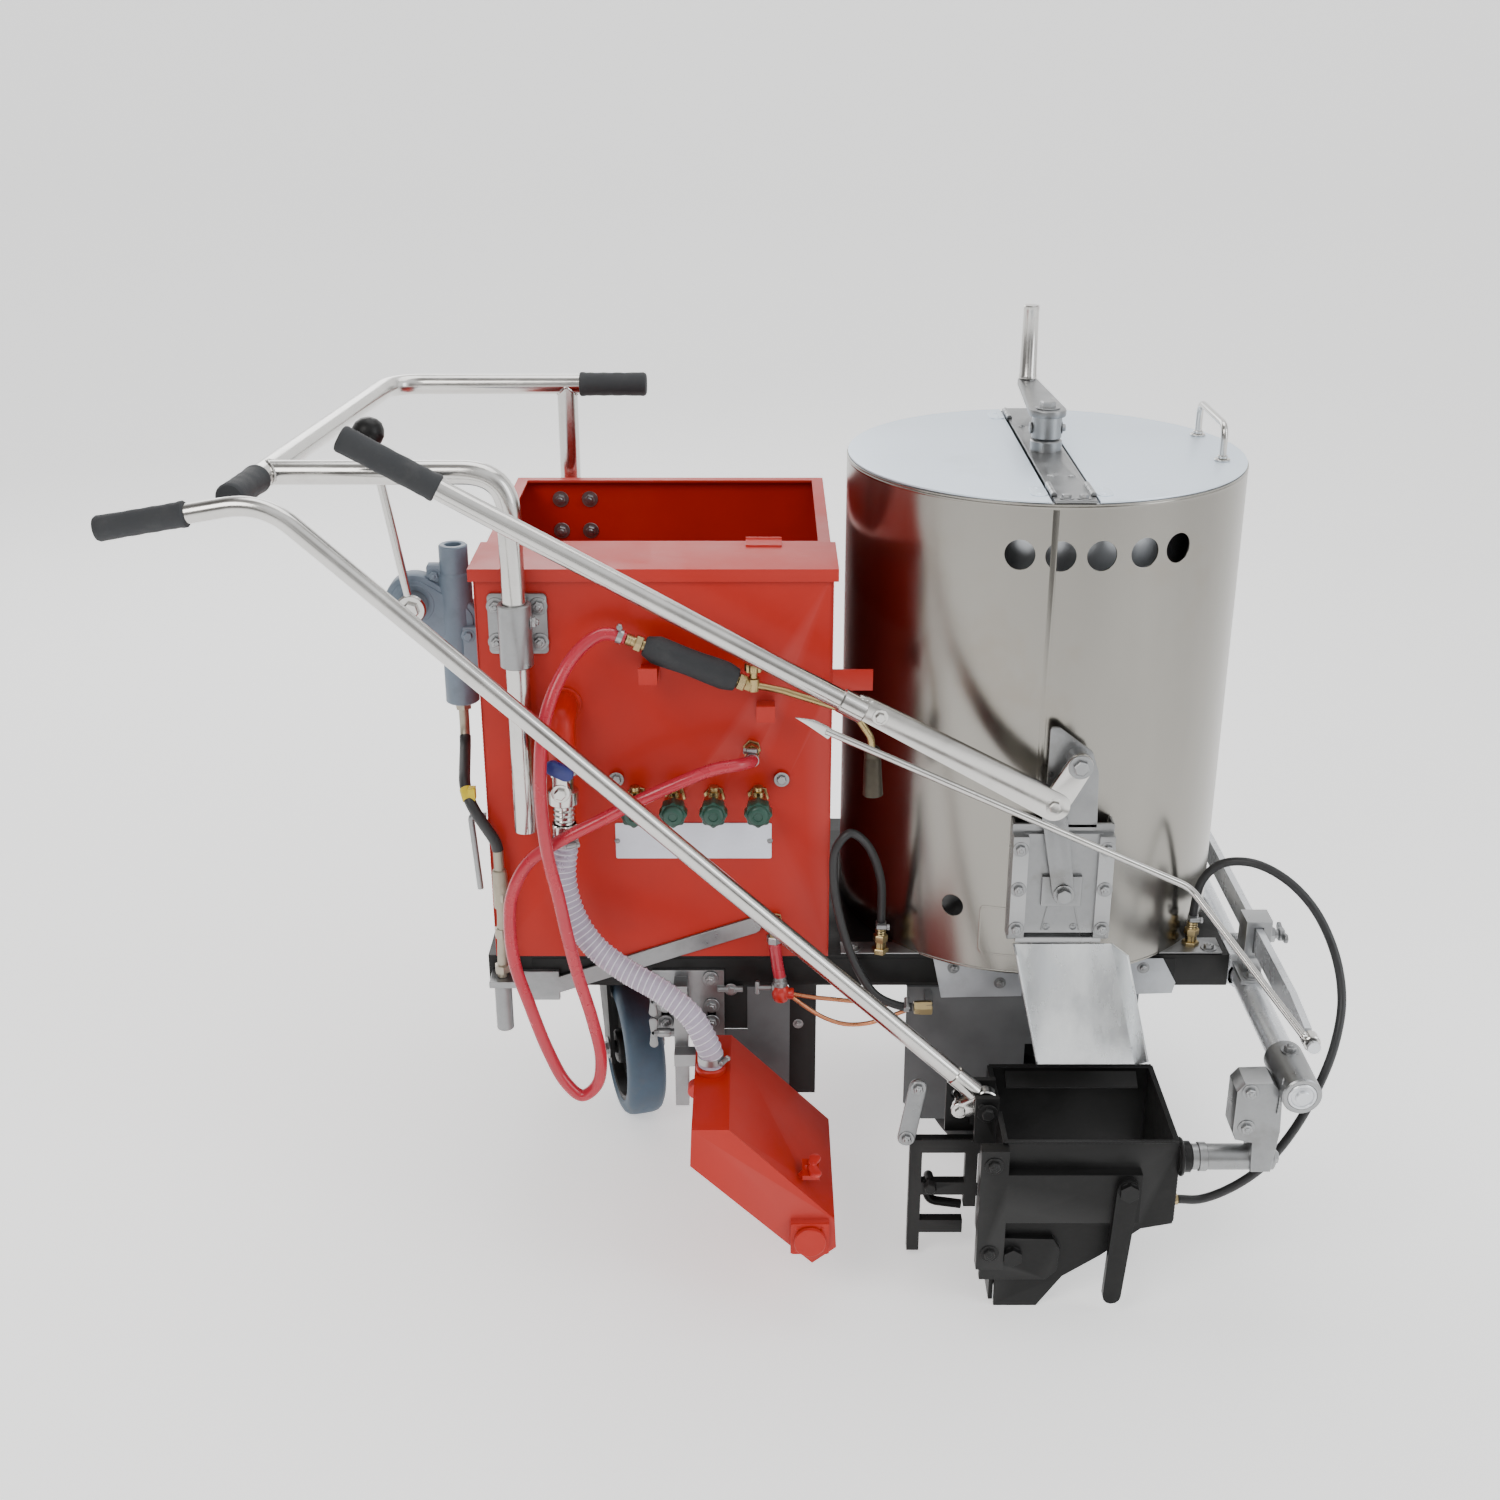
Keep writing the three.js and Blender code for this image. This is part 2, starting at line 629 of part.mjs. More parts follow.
function beadBox() {
  const { left, right, near, far, low, high, wall } = BOX;
  const open = (y0, y1, z0) => box(left + wall, right - wall, y0, y1, z0, high + 5);
  const chamber = box(left + wall, right - wall, near + wall, DIVIDER_Y - wall, low + wall, high + 5);
  const slope = plateY(
    [
      [left + 1, 628],
      [-556, 602],
      [-520, 602],
      [right - 1, 690],
      [right - 1, 693],
      [-521, 605],
      [-555, 605],
      [left + 1, 631],
    ],
    near + 1,
    DIVIDER_Y - 1,
  );
  const rim = cut(
    box(left, right, DIVIDER_Y - wall, far, high - 3, high),
    box(left + 14, right - 14, DIVIDER_Y + 9, far - 14, high - 5, high + 5),
  );
  const hook = (x, z) =>
    join(
      box(x - 10, x + 10, near - 52, near + 1, z, z + 5),
      box(x - 10, x + 10, near - 52, near - 48, z, z + 18),
      box(x - 10, x + 10, near - 3, near + 1, z - 14, z + 4),
    );
  const tab = box(right - 4, right + 44, near, near + wall, 648, 672);
  const body = cut(
    box(left, right, near, far, low, high),
    open(DIVIDER_Y, far - wall, BOTTLE_FLOOR),
    chamber,
  );
  const port = (x, z, radius) => rodY(x, near - 5, near + wall + 5, z, radius, 10);
  const ports = [
    ...KNOB_X.map((x) => port(x, KNOB_Z, 8)),
    port(-333, 580, 8),
    port(-308, 366, 8),
    port(BEAD_OUTLET.x, BEAD_OUTLET.z + 8, 12),
  ];
  const screw = (x, z) => rodY(x, near - 5, near + 1, z, 7, 8);
  return join(
    cut(body, ...ports),
    slope,
    rim,
    hook(-443, 674),
    hook(-318, 631),
    tab,
    screw(-484, 544),
    screw(-300, 544),
  );
}

function hopperLid() {
  const { left, right, near, high } = BOX;
  const top = high + 3.3;
  const skirt = 14;
  const tabY = DIVIDER_Y - 6;
  return join(
    box(left - 5, right + 5, near - 5, tabY, top - 3, top),
    box(left - 5, right + 5, near - 5, near - 2, top - skirt, top),
    box(left - 5, left - 2, near - 5, tabY, top - skirt, top),
    box(right + 2, right + 5, near - 5, tabY, top - skirt, top),
    box(-340, -300, tabY - 20, DIVIDER_Y + 2, top - 0.5, top + 2),
    rodX(-340, -300, DIVIDER_Y, top + 1, 3),
  );
}

function beadOutlet() {
  const { x, y, z } = BEAD_OUTLET;
  const elbow = rod(at(x, BOX.near + 8, z + 12), at(x, y - 4, z - 14), 16, 16, 15);
  const drop = rodZ(x, y, z - 40, z - 12, 14, 16);
  const bore = rod(at(x, BOX.near + 5, z + 12), at(x, y, z - 12), 9, 12);
  return cut(join(elbow, drop), bore, box(x - 30, x + 30, BOX.near - GAP, BOX.near + 30, z - 30, z + 40));
}

function outletValve() {
  const { x, y, z } = BEAD_OUTLET;
  const top = z - 40 - GAP;
  return join(
    rodZ(x, y, 500, top, 12, 16),
    rodZ(x, y, top - 10, top, 16, 6),
    rodZ(x, y, 536, 552, 17, 8),
    rodZ(x, y, 500, 512, 15, 6),
    rodY(x, y - 24, y, 559, 5),
  );
}

function outletHandle() {
  const { x, y } = BEAD_OUTLET;
  const hubY = y - 24.3;
  const blade = capsule({ x, z: 559 }, { x, z: 592 }, 9, 7);
  return join(plateY(blade, hubY - 4, hubY), rodY(x, hubY - 9, hubY, 559, 8, 8));
}

function gasManifold() {
  const { near } = BOX;
  const innerY = near + 17;
  const stem = (x) =>
    join(
      rodY(x, near - 38, innerY, KNOB_Z, 6.5, 8),
      rodY(x, near - 34, near - 12, KNOB_Z, 10, 6),
      rodZ(x, near - 23, KNOB_Z, KNOB_Z + 19, 5, 8),
    );
  const barb = (x, z, reach) =>
    join(rodY(x, near - reach, innerY, z, 6, 8), hexY(x, near - 14, near - 6, z, 9));
  return join(
    rodX(KNOB_X[0] - 12, -300, innerY, KNOB_Z, 7, 6),
    ...KNOB_X.map(stem),
    rodZ(-333, innerY, KNOB_Z, 580, 5, 6),
    barb(-333, 580, 26),
    rodZ(-308, innerY, 366, KNOB_Z, 5, 6),
    barb(-308, 366, 22),
    rodZ(-308, near - 18, 350, 368, 6, 8),
  );
}

function knob(x) {
  const grip = rodY(x, -237, BOX.near - 38 - GAP, KNOB_Z, 15.5, 8);
  return join(grip, rodY(x, -241, -237, KNOB_Z, 12, 8));
}

// ---- torch ----------------------------------------------------------------------------
const TORCH_Y = -212;

const GRIP_REAR = at(-447, TORCH_Y, 711);
const GRIP_FRONT = at(-349, TORCH_Y, 672);

function torchGrip() {
  const along = (t) => GRIP_REAR.clone().lerp(GRIP_FRONT, t);
  return cut(
    join(
      rod(along(0), along(0.13), 11, 14, 15.5),
      rod(along(0.13), along(0.87), 15.5, 14),
      rod(along(0.87), along(1), 15.5, 14, 12.5),
    ),
    rod(along(-0.1), along(1.1), 6 + RUN, 12),
  );
}

function torchTube() {
  const along = (t) => GRIP_REAR.clone().lerp(GRIP_FRONT, t);
  const route = [
    along(1.1),
    at(-300, TORCH_Y, 660),
    at(-222, TORCH_Y, 634),
    at(-204, TORCH_Y, 606),
    at(-201, TORCH_Y, 580),
  ];
  return join(
    rod(along(-0.2), along(1.12), 6, 8),
    rod(along(-0.1), along(-0.03), 9, 6),
    rod(along(1.01), along(1.16), 9, 6),
    sweep(rounded(route, 20, 3), 4, 8),
    rodZ(-331, TORCH_Y, 664, 684, 4, 8),
    rodZ(-331, TORCH_Y, 682, 691, 9, 8),
    rod(at(-202, TORCH_Y, 594), at(-200, TORCH_Y, 538), 9, 16, 11),
  );
}

// ---- handlebar ------------------------------------------------------------------------
const CLAMP = { low: 692, high: 760, sleeve: 18, plateThick: 4 };

function handlebar() {
  const { z, nearY, farY, nearPostX, farPostX } = BAR;
  const nearRail = [at(nearPostX, nearY, 492), at(nearPostX, nearY, z), at(NEAR_RAIL_END, nearY, z)];
  const { x: rearX, y: rearY } = BAR_REAR;
  const farRail = [at(rearX, rearY, z), at(BAR_CORNER.x, farY, z), at(-471, farY, z)];
  return join(
    sweep(rounded(nearRail, 46, 5), TUBE, 12),
    sweep(rounded(farRail, 48, 5), TUBE, 12),
    rodZ(farPostX, farY, 620, z, TUBE, 12),
  );
}

// The middle of the rear rail where it crosses a given y.
function onRearRail(y) {
  const share = (y - BAR_REAR.y) / (BAR_CORNER.y - BAR_REAR.y);
  return at(BAR_REAR.x + (BAR_CORNER.x - BAR_REAR.x) * share, y, BAR.z);
}

function sleeveGrip(from, to) {
  const run = to.clone().sub(from).normalize();
  const mouth = from.clone().addScaledVector(run, -2);
  const depth = to.clone().addScaledVector(run, -4);
  return cut(rod(from, to, GRIP_RADIUS, 18), rod(mouth, depth, TUBE + 0.6, 14));
}

// The clamp that holds a handlebar post: a bolted plate, a saddle block and a split sleeve.
function postClamp(x, y, wallY) {
  const { low, high, sleeve, plateThick } = CLAMP;
  const side = Math.sign(y - wallY);
  const face = wallY + side * GAP;
  const front = face + side * plateThick;
  const span = (a, b) => [Math.min(a, b), Math.max(a, b)];
  const bolt = (dx, z) => rodY(x + dx, ...span(face + side, front + side * 6), z, 7, 6);
  return cut(
    join(
      box(x - 32, x + 32, ...span(face, front), low, high),
      box(x - 13, x + 13, ...span(face, y - side * 6), low + 10, high - 10),
      rodZ(x, y, low - 6, high - 4, sleeve, 14),
      bolt(-23, low + 14),
      bolt(23, low + 14),
      bolt(-23, high - 14),
      bolt(23, high - 14),
    ),
    rodZ(x, y, low - 20, high + 20, TUBE + 0.8, 12),
  );
}

// ---- caster lock control --------------------------------------------------------------
const CONTROL = { x: -663, y: -100, low: 605, high: 790, discX: -708, discZ: 725 };

function controlHousing() {
  const { x, y, low, high, discX, discZ } = CONTROL;
  const arm = capsule({ x: discX, z: discZ }, { x, z: discZ - 20 }, 33, 26);
  return join(
    rodZ(x, y, low, high - 30, 19, 18),
    cut(rodZ(x, y, high - 34, high, 16, 18), rodZ(x, y, high - 14, high + 2, 9, 14)),
    box(x - 30, x - 8, y - 6, y + 6, high - 46, high - 22),
    plateY(arm, y - 12, y + 12),
    box(x + 8, BOX.left - GAP, y - 20, y + 20, 640, 700),
    rodY(discX, y - 24, y, discZ, 6),
  );
}

const CONTROL_LEVER_Y = CONTROL.y - 30; // clear of the casting as it swings across it

function controlLever() {
  const { y, discX, discZ } = CONTROL;
  const hubY = y - 12 - GAP;
  return cut(
    join(
      rodY(discX, CONTROL_LEVER_Y - 5, hubY, discZ, 17, 16),
      rod(at(discX, CONTROL_LEVER_Y, discZ), at(-736, CONTROL_LEVER_Y, 902), 5, 10),
      hexY(discX, CONTROL_LEVER_Y - 11, CONTROL_LEVER_Y - 4, discZ, 11),
    ),
    rodY(discX, CONTROL_LEVER_Y + 4, y, discZ, 6 + RUN),
  );
}

const controlKnob = () =>
  join(ball(at(-739, CONTROL_LEVER_Y, 921.5), 17), rodZ(-737.7, CONTROL_LEVER_Y, 904.5, 912, 9));

function controlCable() {
  const route = [
    at(CONTROL.x, CONTROL.y, CONTROL.low - GAP),
    at(CONTROL.x, CONTROL.y, 560),
    at(-652, -198, 530),
    at(-618, -198, 470),
    at(-618, -198, 380),
    at(-622, -196, 300.4),
  ];
  return join(
    sweep(rounded(route, 45, 3), 6, 8),
    rodZ(-618, -198, 390, 440, 8.5, 12),
  );
}

// The stay under the cabinet's rear corner, with the eye that anchors the control cable.
function rearStay() {
  const thick = 4;
  const face = BOX.near - GAP;
  const bar = capsule({ x: -579, z: 275 }, { x: -332, z: 360 }, 10);
  return cut(
    join(
      plateY(bar, face - thick, face),
      box(-602, -558, face - thick, FRAME.near - GAP, 262, 300),
      box(-636, -600, -210, FRAME.near - GAP, 292, 300),
      rodZ(-622, -196, 232, 300, 10, 14),
    ),
    rodZ(-622, -196, 220, 262, 4),
  );
}

// ---- bead dispenser -------------------------------------------------------------------
function dispenserHanger() {
  const face = FRAME.near - GAP;
  const plate = cut(
    box(-450, -366, face - 4, face, 212, 300),
    box(-440, -430, -190, -170, 224, 262),
    box(-386, -376, -190, -170, 224, 262),
    rodY(-382, -190, -170, 290, 5),
  );
  const farCheek = DISPENSER.far + GAP;
  return join(
    plate,
    box(-424, -408, -206, face, 130, 292),
    box(-424, -380, farCheek, -206, 196, 212),
    rodX(-448, -424, -198, 268, 5),
    rodX(-448, -424, -198, 226, 5),
    rodX(-374, -344, face - 5, 276, 4, 8),
  );
}

const CHEEK = [
  [-397, 239],
  [-357, 239],
  [-243, 124],
  [-241, 87],
  [-267, 66],
  [-399, 193],
];

function dispenserBox() {
  const { near, far, wall } = DISPENSER;
  const middle = { x: -330, z: 150 };
  const inner = CHEEK.map(([x, z]) => {
    const reach = Math.hypot(x - middle.x, z - middle.z);
    const shrink = 1 - (wall * 1.6) / reach;
    return [middle.x + (x - middle.x) * shrink, middle.z + (z - middle.z) * shrink];
  });
  const spout = { x: -379, y: -300 };
  const { x, z } = ROLLER;
  const slot = box(-262, -246, near + 12, far - 12, 55, 92);
  const wing = at(-276, -388, 163.5);
  const shell = cut(
    join(
      plateY(CHEEK, near, far),
      rodZ(spout.x, spout.y, 236, 247, 15, 12),
      box(x - 21, x + 21, near - 7, near + 1, z - 19, z + 21),
      rodY(x, near - 14, near, z, 15, 16),
      rod(wing.clone().add(at(-6, 0, -6)), wing.clone().add(at(8, 0, 8)), 5),
      box(wing.x - 2, wing.x + 16, wing.y - 16, wing.y + 16, wing.z + 4, wing.z + 9),
    ),
    plateY(inner, near + wall, far - wall),
    rodZ(spout.x, spout.y, 228, 250, 11, 14),
    slot,
    rodY(x, near - 8, far + 1, z, 6 + RUN),
  );
  return shell;
}

function dispenserRoller() {
  const { near, far, wall } = DISPENSER;
  const { x, z, radius } = ROLLER;
  const drum = rodY(x, near + wall + 2, far - wall - 2, z, radius, 16);
  const flutes = Array.from({ length: 8 }, (_, i) => {
    const a = (i * Math.PI) / 4;
    return rodY(x + radius * Math.cos(a), near, far, z + radius * Math.sin(a), 3, 4);
  });
  return join(cut(drum, ...flutes), rodY(x, near - 5, far - 1, z, 6));
}

// ---- shoe -----------------------------------------------------------------------------
const SHOE_STRUT = { top: { x: 70, z: 170 }, foot: { x: 62, z: 30 } };

function shoeBox() {
  const { left, right, near, far, top, wall } = SHOE;
  const undercut = plateY(
    [
      [right + 5, -5],
      [right + 5, 112],
      [92, 104],
      [50, 68],
      [10, 40],
      [-20, -5],
    ],
    near - 1,
    near + 40,
  );
  const farUndercut = plateY(
    [
      [right + 5, -5],
      [right + 5, 86],
      [60, 70],
      [20, 40],
      [-10, -5],
    ],
    near + 39,
    far + 1,
  );
  const walls = cut(
    box(left, right, near, far, 0, top),
    box(left + wall, right - wall, near + wall, far - wall, -5, top + 5),
    box(left - 1, left + wall + 1, near + wall, far - wall, -5, 22),
    box(left - 1, left + wall + 1, SHOE_PIVOT.y - 16, SHOE_PIVOT.y + 16, 196, top + 5),
    undercut,
    farUndercut,
  );
  const baffle = plateX(
    [
      [far - 3, 214],
      [far - 3, 209],
      [far - 20, 198],
      [far - 23, 201],
    ],
    left + 20,
    right - 20,
  );
  const scraper = plateY(
    [
      [left - 19, 42],
      [left + 54, 42],
      [left + 66, 54],
      [left + 68, 82],
      [left + 60, 96],
      [left - 19, 98],
    ],
    near - 8,
    near + 1,
  );
  const ear = (y) => box(left - 24, left + 2, y, y + 7, 178, 236);
  const pivotZ = SHOE_PIVOT.z;
  return join(
    walls,
    baffle,
    scraper,
    box(left - 11, 86, near - 14, near + 1, 122, 184),
    box(left - 24, left + 6, near - 14, near + 2, 60, 214),
    plateY(capsule(SHOE_STRUT.top, SHOE_STRUT.foot, 12, 10), near - 22, near - 13),
    hexY(SHOE_STRUT.top.x, near - 29, near - 21, SHOE_STRUT.top.z, 11),
    hexY(-48, near - 16, near - 7, 76, 11),
    ear(SHOE_PIVOT.y - 22),
    ear(SHOE_PIVOT.y + 15),
    rodY(SHOE_PIVOT.x, SHOE_PIVOT.y - 26, SHOE_PIVOT.y + 26, pivotZ, 5),
    rodX(right - 1, 138, -400, SLEEVE_Z, 17, 16),
    rodX(right - 1, 146.5, -344, 98, 5),
  );
}

function shoeArm() {
  const { x, z } = RAIL;
  const sleeve = rodY(x, -430, -352, z, RAIL.radius + 6, 16);
  const block = plateY(
    [
      [176, 238],
      [180, 228],
      [198, 224],
      [200, 186],
      [222, 186],
      [227, 238],
      [227, 292],
      [216, 300],
      [184, 298],
      [176, 286],
    ],
    -418,
    -384,
  );
  const trunnion = rodX(138 + GAP, 228, -400, SLEEVE_Z, 14, 16);
  const nut = rodX(227, 234, -400, SLEEVE_Z, 8, 6);
  const screw = rodZ(x, -372, z + 18, z + 30, 4, 8);
  const bore = rodY(x, -440, -340, z, RAIL.radius + RUN, 16);
  return cut(join(sleeve, block, trunnion, nut, screw), bore);
}

const GATE_PIN = { x: SHOE_PIVOT.x - 28, z: SHOE_PIVOT.z - 10 };

function shoeLever() {
  const { x, y, z } = SHOE_PIVOT;
  const foot = at(x, y, z);
  const bend = at(SHOE_BEND.x, y, SHOE_BEND.z);
  const tip = at(SHOE_END.x + 4, y, SHOE_END.z + 0.5);
  return cut(
    join(
      sweep(rounded([foot, bend, tip], 75, 4), 10, 10),
      rod(foot, foot.clone().lerp(bend, 0.04), 11.4, 14),
      rodY(x, y - 7, y + 7, z, 15, 18),
      plateY(capsule({ x, z }, GATE_PIN, 12, 8), y - 7, y + 7),
      rodY(GATE_PIN.x, y, y + 32, GATE_PIN.z, 4),
    ),
    rodY(x, y - 20, y + 20, z, 5 + RUN),
  );
}

function shoeLeverGrip() {
  const end = at(SHOE_END.x, SHOE_PIVOT.y, SHOE_END.z);
  const start = at(-878, SHOE_PIVOT.y, SHOE_BEND.z - 12.6);
  const run = end.clone().sub(start).normalize();
  return cut(
    rod(start, end, 13.2, 18),
    rod(start.clone().addScaledVector(run, -3), end.clone().addScaledVector(run, -3), 10 + 0.8, 14),
  );
}

function shoeGate() {
  const face = SHOE.left - GAP;
  const { near, far } = SHOE;
  return cut(
    join(
      box(face - 5, face, near + 8, far - 8, 2, 120),
      box(face - 5, face, -302, -288, 118, 176),
      box(GATE_PIN.x - 12, face, -302, -296, 160, 176),
      box(GATE_PIN.x - 12, GATE_PIN.x + 12, -302, -296, 170, GATE_PIN.z + 14),
    ),
    rodY(GATE_PIN.x, -320, -280, GATE_PIN.z, 6.5),
  );
}

// The ladder frame at the rear of the shoe that carries its heating burner.
const LADDER = { left: -155, right: -92, near: -320, far: -308, top: 160 };

function burnerCarrier() {
  const { left, right, near, far, top } = LADDER;
  const post = (x, low) => box(x, x + 14, near, far, low, top);
  const rung = (z, x1) => box(left, x1, near, far, z, z + 17);
  return join(
    post(left, 9),
    post(right, 70),
    rung(top - 17, SHOE.left + 2),
    rung(86, right + 12),
    rung(34, right),
    rodY(-131, near - 4, far + 4, 100, 5),
  );
}

function frontRail() {
  const { x, z, radius, near, far } = RAIL;
  const pad = (y) => box(FRAME.right + GAP, x - 4, y, y + 36, FRAME.low, FRAME.high);
  const bore = rodY(x, near + 6, far + 1, z, radius - 3.5, 12);
  return cut(
    join(
      rodY(x, near, far, z, radius, 16),
      rodY(x, near - 3, near + 1, z, 8, 12),
      pad(FRAME.near + 2),
      pad(FRAME.far - 38),
    ),
    bore,
  );
}

// ---- pointer --------------------------------------------------------------------------
function pointerBracket() {
  const { x, z, clampY: y } = POINTER;
  const base = RAIL.z + RAIL.radius - 2;
  const clear = 0.6;
  const wing = x + 30;
  const block = box(x - 15, x + 15, y - 16, y + 16, z - 24, z + 24);
  const channel = box(x - 4 - clear, x + 4 + clear, y - 20, y + 20, z - 15 - clear, z + 15 + clear);
  return join(
    cut(block, channel),
    box(x - 20, x + 8, y - 36, y + 80, base, base + 6),
    box(x - 15, x + 8, y - 16, y + 16, base, z - 22),
    rodX(x + 14, wing, y, z, 6, 12),
    rodX(wing - 4, wing + 4, y, z, 8, 8),
    box(wing, wing + 4, y - 18, y + 18, z - 6, z + 6),
  );
}

function pointerBar() {
  const { x, z, near, far } = POINTER;
  const side = [
    [far, z - 15],
    [far, z + 15],
    [near + 60, z + 15],
    [near, z + 8],
    [near, z - 8],
    [near + 60, z - 15],
  ];
  return join(
    plateX(side, x - 4, x + 4),
    rodY(x, near - 26, near + 1, z, 3.6),
    rodY(x, near - 27, near - 23, z, 7, 10),
  );
}

function pointerRod() {
  const { x, z, near } = POINTER;
  const eyeY = near - 12;
  const route = [at(x - 8, eyeY, z + 6), at(136, -300, 468), at(-258, -300, 650)];
  const tip = [
    [-246, 648],
    [-268, 661],
    [-288, 664],
    [-276, 656],
    [-254, 640],
  ];
  return cut(
    join(
      sweep(rounded(route, 30, 4), 4, 8),
      rodY(x, eyeY - 7, eyeY + 7, z, 9, 14),
      rod(at(x - 4, eyeY, z + 3), at(x - 10, eyeY, z + 8), 4),
      plateY(tip, -302, -298),
    ),
    rodY(x, near - 40, near + 10, z, 3.6 + RUN),
  );
}

// ---- hoses ----------------------------------------------------------------------------
const HOSES = {
  torch_hose: {
    radius: 7,
    steps: 34,
    points: [
      at(-333, -207.4, 580),
      at(-333, -218, 580),
      at(-345, -232, 582),
      at(-372, -242, 581),
      at(-399, -248, 573),
      at(-454, -256, 550),
      at(-499, -258, 526),
      at(-538, -261, 506),
      at(-575, -263, 480),
      at(-595, -265, 441),
      at(-599, -268, 404),
      at(-595, -274, 360),
      at(-581, -280, 314),
      at(-562, -286, 257),
      at(-543, -290, 217),
      at(-525, -292, 201),
      at(-508, -292, 215),
      at(-502, -292, 248),
      at(-510, -291, 299),
      at(-524, -290, 355),
      at(-534, -289, 405),
      at(-542, -288, 453),
      at(-550, -286, 491),
      at(-555, -284, 535),
      at(-556, -278, 592),
      at(-550, -268, 646),
      at(-535, -250, 686),
      at(-514, -230, 713),
      at(-492, -217, 725),
      at(-477, -212.5, 723),
      at(-467.4, -212, 719.2),
    ],
  },
  shoe_hose_rear: {
    radius: 5,
    steps: 16,
    points: [
      at(-184, -171, 350.5),
      at(-184, -172, 366),
      at(-187, -180, 420),
      at(-205, -190, 468),
      at(-223, -194, 482),
      at(-238, -197, 466),
      at(-241, -199, 428),
      at(-231, -201, 370),
      at(-214, -204, 319),
      at(-190, -208, 282),
      at(-164, -211, 270),
      at(-148, -212, 268),
    ],
  },
  shoe_hose_front: {
    radius: 5,
    steps: 26,
    points: [
      at(181, -155, 350.5),
      at(181, -156, 366),
      at(186, -162, 408),
      at(204, -173, 434),
      at(234, -186, 441),
      at(269, -201, 428),
      at(300, -221, 399),
      at(321, -246, 355),
      at(326, -271, 312),
      at(316, -296, 272),
      at(298, -318, 236),
      at(270, -334, 184),
      at(238, -342, 141),
      at(204, -344, 113),
      at(171, -344, 98),
      at(147, -344, 98),
    ],
  },
  bead_hose: {
    radius: 14,
    steps: 8,
    points: [
      at(-538, -230, 499.6),
      at(-538, -230, 484),
      at(-541, -236, 450),
      at(-532, -244, 408),
      at(-509, -254, 372),
      at(-474, -266, 348),
      at(-432, -280, 328),
      at(-400, -292, 304),
      at(-384, -299, 276),
      at(-379, -300, 262),
      at(-379, -300, 247.4),
    ],
  },
};

// ---- assembly -------------------------------------------------------------------------
part("chassis_frame", chassisFrame(), LOOKS.black);
part("front_axle", frontAxle(), LOOKS.zinc);
frontWheels();
caster();
part("wheel_guard", wheelGuard(), LOOKS.zinc);

part("kettle_shell", kettleShell(), LOOKS.stainless);
part("kettle_pot", kettlePot(), LOOKS.stainless);
part("burner_ring", burner(), LOOKS.black);
part("lid_bridge", lidBridge(), LOOKS.zinc);
part("lid_left", halfLid(-1), LOOKS.zinc);
part("lid_right", join(halfLid(1), lidHandle()), LOOKS.zinc);
part("crank_arm", crankArm(), LOOKS.zinc);
part("crank_grip", crankGrip(), LOOKS.zinc);
part("stirrer", stirrer(), LOOKS.stainless);

part("gate_housing", gateHousing(), LOOKS.zinc);
part("gate_plate", gatePlate(), LOOKS.zinc);
part("gate_link", gateLink(), LOOKS.zinc);
part("discharge_lever", dischargeLever(), LOOKS.chrome);
part("discharge_grip", dischargeGrip(), LOOKS.grip);
part("chute", chute(), LOOKS.stainless);

part("bead_box", beadBox(), LOOKS.red);
part("hopper_lid", hopperLid(), LOOKS.red);
part("bead_outlet", beadOutlet(), LOOKS.red);
part("outlet_valve", outletValve(), LOOKS.chrome);
part("outlet_handle", outletHandle(), LOOKS.blue);
part("gas_manifold", gasManifold(), LOOKS.brass);
KNOB_X.forEach((x, i) => part(`gas_knob_${i + 1}`, knob(x), LOOKS.knob));
part("torch_grip", torchGrip(), LOOKS.grip);
part("torch_tube", torchTube(), LOOKS.brass);

part("handlebar", handlebar(), LOOKS.chrome);
part("near_grip", sleeveGrip(onRearRail(-232), onRearRail(-311)), LOOKS.grip);
part("far_grip", sleeveGrip(at(-550, BAR.farY, BAR.z), at(-466, BAR.farY, BAR.z)), LOOKS.grip);
part("post_clamp_near", postClamp(BAR.nearPostX, BAR.nearY, BOX.near), LOOKS.zinc);
part("post_clamp_far", postClamp(BAR.farPostX, BAR.farY, BOX.far), LOOKS.zinc);

part("control_housing", controlHousing(), LOOKS.casting);
part("control_lever", controlLever(), LOOKS.chrome);
part("control_knob", controlKnob(), LOOKS.black);
part("control_cable", controlCable(), LOOKS.brass);
part("rear_stay", rearStay(), LOOKS.zinc);

part("dispenser_hanger", dispenserHanger(), LOOKS.zinc);
part("dispenser_box", dispenserBox(), LOOKS.red);
part("dispenser_roller", dispenserRoller(), LOOKS.stainless);

part("shoe_box", join(shoeBox(), burnerCarrier()), LOOKS.black);
part("shoe_arm", shoeArm(), LOOKS.zinc);
part("shoe_lever", shoeLever(), LOOKS.chrome);
part("shoe_lever_grip", shoeLeverGrip(), LOOKS.grip);
part("shoe_gate", shoeGate(), LOOKS.black);
part("front_rail", join(frontRail(), pointerBracket()), LOOKS.chrome);
part("pointer_bar", pointerBar(), LOOKS.chrome);
part("pointer_rod", pointerRod(), LOOKS.chrome);

const HOSE_LOOKS = { torch_hose: LOOKS.redHose, bead_hose: LOOKS.clearHose };
for (const [name, { points, radius, steps }] of Object.entries(HOSES)) {
  part(name, hose(points, radius, steps), HOSE_LOOKS[name] ?? LOOKS.blackHose);
}

export default group;
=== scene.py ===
import math

import bmesh
import bpy
from mathutils import Matrix, Vector


